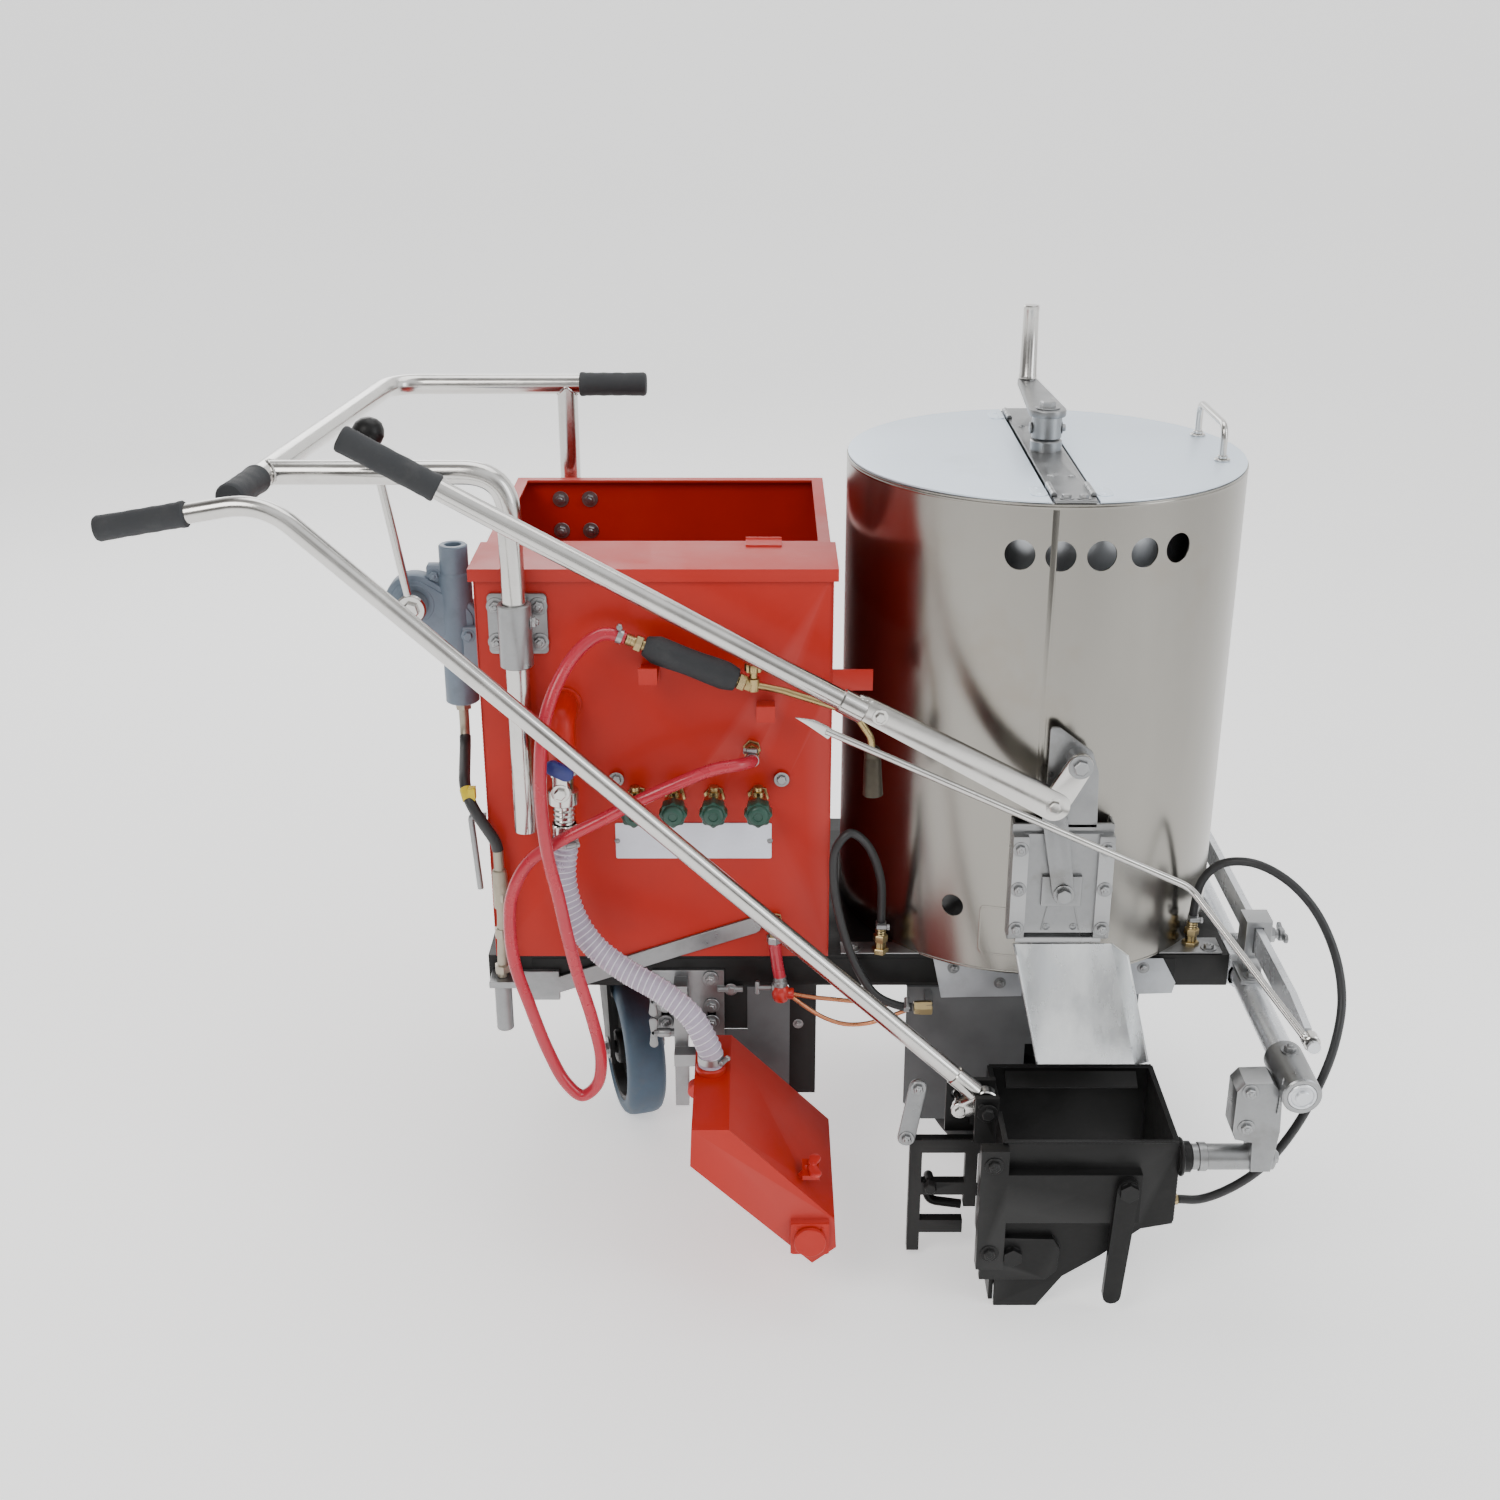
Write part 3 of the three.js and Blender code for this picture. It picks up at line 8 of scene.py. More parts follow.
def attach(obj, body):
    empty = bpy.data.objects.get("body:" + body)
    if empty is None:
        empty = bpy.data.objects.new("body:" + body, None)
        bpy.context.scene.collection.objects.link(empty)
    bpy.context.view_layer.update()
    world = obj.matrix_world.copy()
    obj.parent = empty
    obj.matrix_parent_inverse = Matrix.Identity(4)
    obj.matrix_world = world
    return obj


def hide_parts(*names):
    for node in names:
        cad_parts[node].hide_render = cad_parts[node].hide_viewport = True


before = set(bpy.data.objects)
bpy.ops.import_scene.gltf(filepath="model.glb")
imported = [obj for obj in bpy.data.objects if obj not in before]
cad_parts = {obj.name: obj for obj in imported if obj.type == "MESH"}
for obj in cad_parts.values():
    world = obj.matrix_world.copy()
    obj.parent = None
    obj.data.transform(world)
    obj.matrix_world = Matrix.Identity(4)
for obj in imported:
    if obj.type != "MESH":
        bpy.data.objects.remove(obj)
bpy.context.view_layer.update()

# The line striping machine's pieces are drawn in mm from the kettle's axis, with z up from the
# ground, and Shape.show() puts each one in the row frame in metres.
SHIFT = Vector((345.3, 85.5, 0.0))  # what takes mm from the kettle's axis to mm in the row frame
CAMERA_AT = (-324, -2044, 1357)
CAMERA_DIP = 22.7  # degrees below level


def row(x, y, z):
    """A point measured in mm from the kettle's axis, as metres in the row frame."""
    return (Vector((x, y, z)) + SHIFT) / 1000


# ---- camera and light --------------------------------------------------------------------
scene = bpy.context.scene
camera = bpy.data.objects.new("camera", bpy.data.cameras.new("camera"))
scene.collection.objects.link(camera)
scene.camera = camera
camera.data.lens = 43.8
camera.data.sensor_width = 36
camera.data.shift_x = -0.0067
camera.location = row(*CAMERA_AT)
camera.rotation_euler = (math.radians(90 - CAMERA_DIP), 0, 0)


def area_light(name, place, target, size, power, colour=(1, 1, 1)):
    light = bpy.data.lights.new(name, "AREA")
    light.shape = "RECTANGLE"
    light.size, light.size_y = size
    light.energy = power
    light.color = colour
    lamp = bpy.data.objects.new(name, light)
    lamp.location = place
    lamp.rotation_euler = (Vector(target) - Vector(place)).to_track_quat("-Z", "Y").to_euler()
    scene.collection.objects.link(lamp)


area_light("key", (-1.6, -2.6, 3.0), (0, 0, 0.4), (1.8, 1.8), 62, (1, 0.98, 0.95))
area_light("fill", (2.8, -1.6, 1.8), (0, 0, 0.5), (1.0, 2.4), 26, (0.93, 0.97, 1))
area_light("top", (0.2, 0.6, 3.2), (0, 0, 0.5), (2.4, 1.6), 34)
area_light("rear", (-1.2, 2.8, 1.9), (0, 0, 0.5), (2.2, 1.2), 26)

world = bpy.data.worlds.new("studio")
scene.world = world
world.use_nodes = True
sky = world.node_tree


def node(tree, kind, values=None, **settings):
    made = tree.nodes.new(kind)
    for key, value in settings.items():
        setattr(made, key, value)
    for key, value in (values or {}).items():
        made.inputs[key].default_value = value
    return made


def noise(tree, vector, scale, stretch=None, **values):
    """A noise texture's value at a vector, which may be stretched first."""
    if stretch:
        drift = node(tree, "ShaderNodeMapping", {"Scale": stretch})
        tree.links.new(vector, drift.inputs["Vector"])
        vector = drift.outputs["Vector"]
    made = node(tree, "ShaderNodeTexNoise", {"Scale": scale, **values})
    tree.links.new(vector, made.inputs["Vector"])
    return made.outputs["Fac"]


def spread_out(tree, value, source, target):
    """A value carried from one range to another."""
    ends = {"From Min": source[0], "From Max": source[1], "To Min": target[0], "To Max": target[1]}
    made = node(tree, "ShaderNodeMapRange", ends)
    tree.links.new(value, made.inputs["Value"])
    return made.outputs["Result"]


def laid_over(tree, share, under, colour):
    """A plain colour laid over another by a share."""
    made = node(tree, "ShaderNodeMix", {"B": (*colour, 1)}, data_type="RGBA")
    tree.links.new(share, made.inputs["Factor"])
    tree.links.new(under, made.inputs["A"])
    return made.outputs["Result"]


def ramp_of(tree, value, stops):
    """The colour that a value has on a ramp through (position, colour) stops."""
    made = tree.nodes.new("ShaderNodeValToRGB")
    elements = made.color_ramp.elements
    while len(elements) < len(stops):
        elements.new(0.5)
    for element, (position, colour) in zip(elements, stops):
        element.position = position
        element.color = (*colour, 1)
    tree.links.new(value, made.inputs["Fac"])
    return made.outputs["Color"]


# Soft bright and dim patches, for the metal to reflect.
direction = node(sky, "ShaderNodeTexCoord").outputs["Generated"]
patches = noise(sky, direction, 1.7, (1, 1, 0.35), Detail=1.5, Roughness=0.4)
softbox = [
    (0.36, (0.17, 0.165, 0.16)), (0.46, (0.5, 0.49, 0.48)),
    (0.54, (0.86, 0.86, 0.85)), (0.64, (1.35, 1.36, 1.38)),
]
background = sky.nodes["Background"]
sky.links.new(ramp_of(sky, patches, softbox), background.inputs["Color"])
background.inputs["Strength"].default_value = 0.95


# ---- materials ---------------------------------------------------------------------------
RELIEF = 0.0006  # how high the fine relief stands, in m


def look(
    name, colour, rough, metal=0.0, spread=0.12, grain=14.0, stretch=(1, 1, 1), rough_spread=0.12,
    bump=0.0, bump_scale=400.0, bump_stretch=(1, 1, 1), dirt=None, edge=0.0, **sockets
):
    """A surface whose colour and roughness drift with the place on it, with fine relief.
    dirt is (colour, share, scale): patches laid over the base. edge brightens worn edges."""
    made = bpy.data.materials.new(name)
    made.use_nodes = True
    tree = made.node_tree
    skin = tree.nodes["Principled BSDF"]
    skin.inputs["Metallic"].default_value = metal
    for key, value in sockets.items():
        skin.inputs[key.replace("_", " ")].default_value = value
    place = node(tree, "ShaderNodeTexCoord").outputs["Object"]
    cloud = noise(tree, place, grain, stretch, Detail=6.0, Roughness=0.6)
    low = [max(0.0, c * (1 - spread)) for c in colour]
    high = [min(1.0, c * (1 + spread)) for c in colour]
    shade = ramp_of(tree, cloud, [(0.3, low), (0.7, high)])
    if dirt:
        dirt_colour, share, scale = dirt
        patch = noise(tree, place, scale, Detail=8.0, Roughness=0.65)
        cover = spread_out(tree, patch, (0.55, 0.75), (0.0, share))
        shade = laid_over(tree, cover, shade, dirt_colour)
    if edge:
        corners = node(tree, "ShaderNodeNewGeometry").outputs["Pointiness"]
        worn = spread_out(tree, corners, (0.54, 0.62), (0.0, edge))
        shade = laid_over(tree, worn, shade, [min(1.0, 0.35 + c) for c in colour])
    tree.links.new(shade, skin.inputs["Base Color"])
    ends = (max(0.03, rough - rough_spread), min(1.0, rough + rough_spread))
    tree.links.new(spread_out(tree, cloud, (0.3, 0.7), ends), skin.inputs["Roughness"])
    if bump:
        relief = noise(tree, place, bump_scale, bump_stretch, Detail=3.0)
        lift = node(tree, "ShaderNodeBump", {"Strength": bump, "Distance": RELIEF})
        tree.links.new(relief, lift.inputs["Height"])
        tree.links.new(lift.outputs["Normal"], skin.inputs["Normal"])
    return made


# Each look is (the record's material slot, its material).
LOOKS = {
    "red": ("red_paint", look("red_coat", (0.42, 0.014, 0.006), 0.42, spread=0.07, grain=6,
        bump=0.12, bump_scale=190, dirt=((0.28, 0.012, 0.007), 0.35, 5.0), edge=0.06,
        Specular_IOR_Level=0.26, Coat_Weight=0.04)),
    "black": ("black_paint", look("black_coat", (0.009, 0.009, 0.009), 0.4, spread=0.3, grain=18,
        bump=0.3, bump_scale=160, dirt=((0.02, 0.019, 0.018), 0.5, 16.0), edge=0.05,
        Specular_IOR_Level=0.2)),
    "kettle": ("stainless", look("kettle_sheet", (0.285, 0.273, 0.248), 0.23, 1.0, spread=0.08,
        grain=5, stretch=(1.6, 1.6, 0.35), rough_spread=0.06, bump=0.05, bump_scale=9,
        bump_stretch=(6, 6, 0.6), dirt=((0.23, 0.18, 0.125), 0.55, 3.4))),
    "sheet": ("stainless", look("bright_sheet", (0.56, 0.58, 0.61), 0.34, 0.75,
        grain=7, rough_spread=0.08, bump=0.04, bump_scale=500, bump_stretch=(0.05, 1, 1),
        dirt=((0.4, 0.39, 0.37), 0.4, 9.0))),
    "lid": ("zinc", look("lid_sheet", (0.78, 0.87, 0.97), 0.4, 0.65, spread=0.03, grain=3,
        rough_spread=0.05, bump=0.04, dirt=((0.48, 0.5, 0.53), 0.3, 5.0))),
    "galvanised": ("zinc", look("galvanised_sheet", (0.11, 0.115, 0.12), 0.5, 0.35, spread=0.14,
        grain=26, rough_spread=0.1, bump=0.06, bump_scale=240,
        dirt=((0.075, 0.075, 0.075), 0.4, 7.0), edge=0.1)),
    "chute": ("stainless", look("chute_sheet", (0.84, 0.87, 0.9), 0.3, 0.82, spread=0.16, grain=16,
        stretch=(1.6, 1, 0.5), bump=0.05, bump_scale=300,
        dirt=((0.5, 0.53, 0.56), 0.55, 14.0))),
    "skirt": ("zinc", look("skirt_sheet", (0.5, 0.52, 0.55), 0.42, 0.4, grain=20,
        bump=0.05, dirt=((0.32, 0.33, 0.34), 0.5, 18.0))),
    # painted reflection: a brighter, less metallic copy of the polished tube, so the front rail and
    # pointer bar read bright as if catching highlights
    "painted_reflection_tube": ("chrome_tube", look("painted_reflection_tube", (0.66, 0.68, 0.71), 0.28, 0.6, spread=0.08,
        grain=24, rough_spread=0.08, bump=0.04, bump_scale=500, dirt=((0.4, 0.4, 0.41), 0.4, 24.0),
        edge=0.15)),
    "burnt": ("brass", look("burnt_brass", (0.07, 0.06, 0.045), 0.42, 0.8, spread=0.25, grain=40,
        bump=0.1, dirt=((0.06, 0.05, 0.045), 0.6, 30.0))),
    "ferrule": ("brass", look("aged_ferrule", (0.36, 0.32, 0.25), 0.4, 0.75, spread=0.14, grain=40,
        bump=0.08, dirt=((0.2, 0.17, 0.13), 0.5, 40.0), edge=0.1)),
    "zinc": ("zinc", look("zinc_plate", (0.26, 0.265, 0.27), 0.36, 0.9, spread=0.16, grain=30,
        bump=0.15, bump_scale=260, dirt=((0.17, 0.165, 0.155), 0.6, 22.0),
        edge=0.35)),
    "tube": ("chrome_tube", look("polished_tube", (0.6, 0.59, 0.57), 0.2, 1.0, spread=0.06,
        grain=22, rough_spread=0.07, bump=0.04, bump_scale=600,
        dirt=((0.3, 0.28, 0.26), 0.35, 26.0))),
    "grip": ("grip_foam", look("foam_grip", (0.022, 0.024, 0.027), 0.72, spread=0.2, grain=50,
        bump=0.5, bump_scale=900, dirt=((0.06, 0.06, 0.06), 0.4, 30.0))),
    "casting": ("casting", look("grey_casting", (0.135, 0.175, 0.225), 0.45, 0.1,
        grain=24, bump=0.55, bump_scale=120, dirt=((0.05, 0.06, 0.075), 0.4, 20.0), edge=0.1)),
    "brass": ("brass", look("brass", (0.42, 0.32, 0.15), 0.32, 1.0, spread=0.14, grain=40,
        bump=0.08, dirt=((0.2, 0.15, 0.08), 0.5, 40.0), edge=0.1)),
    "copper": ("brass", look("copper", (0.6, 0.25, 0.13), 0.32, 1.0, spread=0.14, grain=60,
        dirt=((0.15, 0.07, 0.05), 0.5, 50.0))),
    "knob": ("green_knob", look("green_knob", (0.008, 0.055, 0.036), 0.36, spread=0.14, grain=60,
        bump=0.1, bump_scale=500, edge=0.12)),
    "caster": ("caster_tread", look("caster_tread", (0.052, 0.09, 0.135), 0.55, spread=0.16,
        grain=30, bump=0.25, bump_scale=300, dirt=((0.12, 0.12, 0.115), 0.55, 14.0), edge=0.06)),
    "tyre": ("tyre_rubber", look("tyre_rubber", (0.02, 0.02, 0.021), 0.75, spread=0.2, grain=40,
        bump=0.5, bump_scale=500, dirt=((0.09, 0.085, 0.08), 0.6, 12.0))),
    "red_hose": ("red_hose", look("red_hose", (0.52, 0.022, 0.045), 0.24, spread=0.08, grain=30,
        bump=0.05, Transmission_Weight=0.2, IOR=1.45, Coat_Weight=0.2)),
    "clear_hose": ("clear_hose", look("clear_hose", (0.74, 0.66, 0.8), 0.2, spread=0.04, grain=30,
        bump=0.05, Transmission_Weight=0.55, IOR=1.3)),
    "coil": ("clear_hose", look("hose_spiral", (0.66, 0.64, 0.7), 0.35, spread=0.04, grain=60,
        bump=0.05)),
    "beads": ("clear_hose", look("hose_filling", (0.42, 0.36, 0.45), 0.6, spread=0.2, grain=160,
        bump=0.3)),
    "black_hose": ("black_hose", look("black_hose", (0.018, 0.018, 0.019), 0.42, spread=0.15,
        grain=60, bump=0.2, bump_scale=700)),
    "blue": ("blue_handle", look("blue_dip", (0.016, 0.024, 0.15), 0.35, grain=60,
        bump=0.08)),
    "label": ("blue_handle", look("label_plate", (0.76, 0.79, 0.88), 0.36, spread=0.05, grain=30,
        bump=0.03, dirt=((0.6, 0.58, 0.6), 0.4, 30.0))),
    "yellow": ("brass", look("yellow_tape", (0.6, 0.45, 0.01), 0.5, spread=0.1, grain=50,
        bump=0.1)),
    "red_cap": ("red_paint", look("red_cap", (0.5, 0.02, 0.015), 0.35, spread=0.1, grain=60,
        bump=0.08)),
}


# ---- shapes ------------------------------------------------------------------------------
def rounded(points, radius, steps=8):
    """The points with each inner corner rounded to about the given radius."""
    points = [Vector(p) for p in points]
    path = [points[0]]
    for before, here, after in zip(points, points[1:], points[2:]):
        back, ahead = before - here, after - here
        reach = radius * math.tan((math.pi - back.angle(ahead)) / 2)
        reach = min(reach, back.length / 2, ahead.length / 2)
        a, b = here + back.normalized() * reach, here + ahead.normalized() * reach
        for k in range(steps + 1):
            t = k / steps
            path.append(a * (1 - t) ** 2 + here * (2 * t * (1 - t)) + b * t * t)
    return [*path, points[-1]]


def flowing(points, per=8):
    """A smooth line through the points: a centripetal spline, as in the CAD source."""
    points = [Vector(p) for p in points]
    points = [2 * points[0] - points[1], *points, 2 * points[-1] - points[-2]]
    line = []
    for p0, p1, p2, p3 in zip(points, points[1:], points[2:], points[3:]):
        d0, d1, d2 = ((b - a).length ** 0.5 for a, b in ((p0, p1), (p1, p2), (p2, p3)))
        leave = ((p1 - p0) / d0 - (p2 - p0) / (d0 + d1) + (p2 - p1) / d1) * d1
        arrive = ((p2 - p1) / d1 - (p3 - p1) / (d1 + d2) + (p3 - p2) / d2) * d1
        for k in range(per):
            t = k / per
            line.append(
                p1 * (2 * t**3 - 3 * t**2 + 1)
                + leave * (t**3 - 2 * t**2 + t)
                + p2 * (3 * t**2 - 2 * t**3)
                + arrive * (t**3 - t**2)
            )
    return [*line, points[-2]]


def rect(u0, u1, v0, v1, corner=0.0):
    if not corner:
        return [(u0, v0), (u1, v0), (u1, v1), (u0, v1)]
    outline = []
    for u, v, start in ((u1, v0, -90), (u1, v1, 0), (u0, v1, 90), (u0, v0, 180)):
        middle = (u - corner if u == u1 else u + corner, v - corner if v == v1 else v + corner)
        for k in range(5):
            a = math.radians(start + 22.5 * k)
            outline.append(on_circle(*middle, corner, a))
    return outline


def on_circle(u, v, radius, angle):
    return (u + radius * math.cos(angle), v + radius * math.sin(angle))


def circle(u, v, radius, sides=24):
    return [on_circle(u, v, radius, 2 * math.pi * k / sides) for k in range(sides)]


def lobed(u, v, radius, depth, lobes, sides, lowest=-1.0):
    """A knob's outline: a circle that swells and dips with its lobes."""
    outline = []
    for k in range(sides):
        a = 2 * math.pi * k / sides
        outline.append(on_circle(u, v, radius + depth * max(lowest, math.cos(lobes * a)), a))
    return outline


def slot_hole(u0, u1, v0, v1):
    return rect(u0, u1, v0, v1, min(u1 - u0, v1 - v0) / 2 - 0.01)


def capsule(a, b, radius_a, radius_b=None, steps=12):
    radius_b = radius_a if radius_b is None else radius_b
    heading = math.atan2(b[1] - a[1], b[0] - a[0])
    lean = math.acos((radius_a - radius_b) / math.dist(a, b))
    outline = []
    for centre, radius, start, end in (
        (b, radius_b, heading - lean, heading + lean),
        (a, radius_a, heading + lean, heading + 2 * math.pi - lean),
    ):
        for k in range(steps + 1):
            angle = start + (end - start) * k / steps
            outline.append(on_circle(*centre, radius, angle))
    return outline


def wound(outline, anticlockwise):
    area = sum(a[0] * b[1] - b[0] * a[1] for a, b in zip(outline, outline[1:] + outline[:1]))
    return outline if (area > 0) == anticlockwise else outline[::-1]


# Where an outline's u, v and its depth go, for plates across each axis.
PLANES = {
    "x": Matrix(((0, 0, 1, 0), (1, 0, 0, 0), (0, 1, 0, 0), (0, 0, 0, 1))),
    "y": Matrix(((1, 0, 0, 0), (0, 0, 1, 0), (0, 1, 0, 0), (0, 0, 0, 1))),
    "z": Matrix.Identity(4),
}


class Shape:
    """Solids gathered in mm from the kettle's axis, shown as one piece."""

    def __init__(self):
        self.bm = bmesh.new()

    def ring(self, centre, u, v, radius, sides):
        turns = (2 * math.pi * k / sides for k in range(sides))
        spots = (centre + radius * (math.cos(a) * u + math.sin(a) * v) for a in turns)
        return [self.bm.verts.new(spot) for spot in spots]

    def skin(self, rings, loop=False):
        pairs = list(zip(rings, rings[1:])) + ([(rings[-1], rings[0])] if loop else [])
        for a, b in pairs:
            sides = max(len(a), len(b))
            for k in range(sides):
                j = (k + 1) % sides
                face = [a[k % len(a)], a[j % len(a)], b[j % len(b)], b[k % len(b)]]
                self.bm.faces.new(list(dict.fromkeys(face)))
        if not loop:
            for end in (rings[0], rings[-1]):
                if len(end) > 2:
                    self.bm.faces.new(end)
        return self

    def turned(self, start, heading, profile, sides=32, loop=False):
        """A turned solid: profile is (distance along, radius) from start."""
        d = Vector(heading).normalized()
        u = d.orthogonal().normalized()
        v = d.cross(u)
        start = Vector(start)
        rings = []
        for along, radius in profile:
            centre = start + d * along
            if radius <= 0:
                rings.append([self.bm.verts.new(centre)])
            else:
                rings.append(self.ring(centre, u, v, radius, sides))
        return self.skin(rings, loop)

    def rod(self, a, b, radius, edge=0.8, sides=28):
        """A round bar with broken edges."""
        a, b = Vector(a), Vector(b)
        long = (b - a).length
        edge = min(edge, radius * 0.45, long * 0.3)
        profile = [(0, radius - edge), (edge, radius), (long - edge, radius), (long, radius - edge)]
        return self.turned(a, b - a, profile, sides)

    def tube(self, points, radius, sides=18):
        """A round sweep. radius may be a list with one value for each point."""
        points = [Vector(p) for p in points]
        radii = radius if isinstance(radius, list) else [radius] * len(points)
        u = None
        rings = []
        for k, here in enumerate(points):
            t = (points[min(k + 1, len(points) - 1)] - points[max(k - 1, 0)]).normalized()
            u = t.orthogonal() if u is None else u - t * u.dot(t)
            u = u.normalized()
            rings.append(self.ring(here, u, t.cross(u), radii[k], sides))
        return self.skin(rings)

    def plate(self, outline, plane, low, high, holes=(), edge=0.8, matrix=None):
        """A plate with broken edges, cut from an outline and its holes."""
        edge = min(edge, (high - low) * 0.45)
        curve = bpy.data.curves.new("outline", "CURVE")
        curve.dimensions = "2D"
        curve.fill_mode = "BOTH"
        loops = [wound(list(outline), True)] + [wound(list(hole), False) for hole in holes]
        for loop in loops:
            spline = curve.splines.new("POLY")
            spline.points.add(len(loop) - 1)
            for point, (u, v) in zip(spline.points, loop):
                point.co = (u, v, 0, 1)
            spline.use_cyclic_u = True
        curve.extrude = (high - low) / 2 - edge
        curve.bevel_depth = edge
        curve.bevel_resolution = 1
        curve.offset = -edge
        holder = bpy.data.objects.new("outline", curve)
        mesh = bpy.data.meshes.new_from_object(holder)
        mesh.transform(Matrix.Translation((0, 0, (low + high) / 2)))
        mesh.transform(matrix if matrix is not None else PLANES[plane])
        fresh = bmesh.new()
        fresh.from_mesh(mesh)
        bmesh.ops.remove_doubles(fresh, verts=fresh.verts, dist=0.01)
        fresh.to_mesh(mesh)
        fresh.free()
        self.bm.from_mesh(mesh)
        bpy.data.meshes.remove(mesh)
        bpy.data.curves.remove(curve)
        return self

    def block(self, x0, x1, y0, y1, z0, z1, edge):
        return self.plate(rect(x0, x1, y0, y1), "z", z0, z1, edge=edge)

    def bolt(self, at, heading, radius=6.0, height=5.0, washer=1.6, stub=0.0):
        """A chamfered hexagon head on a washer, with an optional thread end above it."""
        d = Vector(heading).normalized()
        at = Vector(at)
        if washer:
            self.rod(at, at + d * washer, radius * 1.55, edge=0.4)
        head = [(0, radius), (height * 0.8, radius), (height, radius * 0.84), (height, 0)]
        self.turned(at + d * washer, d, head, 6)
        if stub:
            top = at + d * (washer + height + stub)
            self.rod(at + d * washer, top, radius * 0.52, edge=1.0, sides=16)
        return self

    def screw(self, at, heading, radius=5.0, height=2.6):
        """A domed screw head."""
        dome = [(0, radius), (height * 0.35, radius * 0.96), (height * 0.75, radius * 0.7),
                (height, radius * 0.3), (height, 0)]
        return self.turned(at, heading, dome, 20)

    def bead(self, points, radius=1.8):
        """A weld seam along a line: a rope of small overlapping ripples."""
        fine = []
        for a, b in zip(points, points[1:]):
            a, b = Vector(a), Vector(b)
            count = max(2, int((b - a).length / 1.5))
            fine += [a.lerp(b, k / count) for k in range(count)]
        fine.append(Vector(points[-1]))
        radii = [radius * (0.82 + 0.18 * math.sin(k * 2.1)) for k in range(len(fine))]
        return self.tube(fine, radii, 8)

    def show(self, name, surface, replaces=(), body="chassis", sharp=32, radial=None):
        """Ends the piece: puts it in the row's frame, on its body, in place of its CAD nodes."""
        bmesh.ops.recalc_face_normals(self.bm, faces=self.bm.faces)
        bmesh.ops.translate(self.bm, vec=SHIFT, verts=self.bm.verts)
        bmesh.ops.scale(self.bm, vec=(0.001, 0.001, 0.001), verts=self.bm.verts)
        mesh = bpy.data.meshes.new(name)
        self.bm.to_mesh(mesh)
        self.bm.free()
        for face in mesh.polygons:
            face.use_smooth = True
        mesh.set_sharp_from_angle(angle=math.radians(sharp))
        if radial:
            round_normals(mesh, radial)
        piece = bpy.data.objects.new(name, mesh)
        scene.collection.objects.link(piece)
        slot, material = LOOKS[surface]
        mesh.materials.append(material)
        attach(piece, body)
        if replaces:
            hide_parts(*replaces)
        return piece


def round_normals(mesh, radius):
    """Gives the faces near a given radius of the kettle the normals of a true cylinder."""
    near, steep, facing = 0.0006, 0.3, 0.9  # metres from the radius, and parts of a unit normal
    axis = SHIFT / 1000
    normals = [Vector(corner.vector) for corner in mesh.corner_normals]
    for face in mesh.polygons:
        out = face.center - axis
        out.z = 0.0
        if abs(out.length - radius / 1000) > near or abs(face.normal.z) > steep:
            continue
        if abs(face.normal.dot(out.normalized())) < facing:
            continue
        for loop in face.loop_indices:
            spot = mesh.vertices[mesh.loops[loop].vertex_index].co - axis
            spot.z = 0.0
            normals[loop] = spot.normalized()
    mesh.normals_split_custom_set(normals)


X, Y, Z = (1, 0, 0), (0, 1, 0), (0, 0, 1)
NX, NY, NZ = (-1, 0, 0), (0, -1, 0), (0, 0, -1)


# ---- cords -------------------------------------------------------------------------------
# The same route points as in the CAD source, in mm from the kettle's axis.
TORCH_ROUTE = [
    (-333, -207.4, 580), (-333, -218, 580), (-345, -232, 582), (-372, -242, 581), (-399, -248, 573),
    (-454, -256, 550), (-499, -258, 526), (-538, -261, 506), (-575, -263, 480), (-595, -265, 441),
    (-599, -268, 404), (-595, -274, 360), (-581, -280, 314), (-562, -286, 257), (-543, -290, 217),
    (-525, -292, 201), (-508, -292, 215), (-502, -292, 248), (-510, -291, 299), (-524, -290, 355),
    (-534, -289, 405), (-542, -288, 453), (-550, -286, 491), (-555, -284, 535), (-556, -278, 592),
    (-550, -268, 646), (-535, -250, 686), (-514, -230, 713), (-492, -217, 725), (-477, -212.5, 723),
    (-467.4, -212, 719.2),
]
REAR_ROUTE = [
    (-184, -171, 350.5), (-184, -172, 366), (-187, -180, 420), (-205, -190, 468), (-223, -194, 482),
    (-238, -197, 466), (-241, -199, 428), (-231, -201, 370), (-214, -204, 319), (-190, -208, 282),
    (-164, -211, 270), (-148, -212, 268),
]
FRONT_ROUTE = [
    (181, -155, 350.5), (181, -156, 366), (186, -162, 408), (204, -173, 434), (234, -186, 441),
    (269, -201, 428), (300, -221, 399), (321, -246, 355), (326, -271, 312), (316, -296, 272),
    (298, -318, 236), (270, -334, 184), (238, -342, 141), (204, -344, 113), (171, -344, 98),
    (147, -344, 98),
]
BEAD_ROUTE = [
    (-538, -230, 499.6), (-538, -230, 484), (-541, -236, 450), (-532, -244, 408), (-509, -254, 372),
    (-474, -266, 348), (-432, -280, 328), (-400, -292, 304), (-384, -299, 276), (-379, -300, 262),
    (-379, -300, 247.4),
]


def hose(name, route, radius, surface, ribs=None):
    line = flowing(route)
    radii = radius
    if ribs:
        pitch, depth = ribs
        long = sum((b - a).length for a, b in zip(line, line[1:]))
        line = even(line, int(long / pitch * 6))
        step = long / (len(line) - 1)
        turns = (2 * math.pi * k * step / pitch for k in range(len(line)))
        radii = [radius - depth * (0.5 - 0.5 * math.cos(turn)) for turn in turns]
    piece = Shape().tube(line, radii, 20).show(name + "_run", surface, [name])
    path = [row(*p) for p in line]
    return line


def even(line, count):
    """The line again as count + 1 points at equal spaces."""
    along = [0.0]
    for a, b in zip(line, line[1:]):
        along.append(along[-1] + (b - a).length)
    points = []
    k = 0
    for i in range(count + 1):
        want = along[-1] * i / count
        while k < len(line) - 2 and along[k + 1] < want:
            k += 1
        share = (want - along[k]) / (along[k + 1] - along[k])
        points.append(line[k].lerp(line[k + 1], min(1.0, share)))
    return points


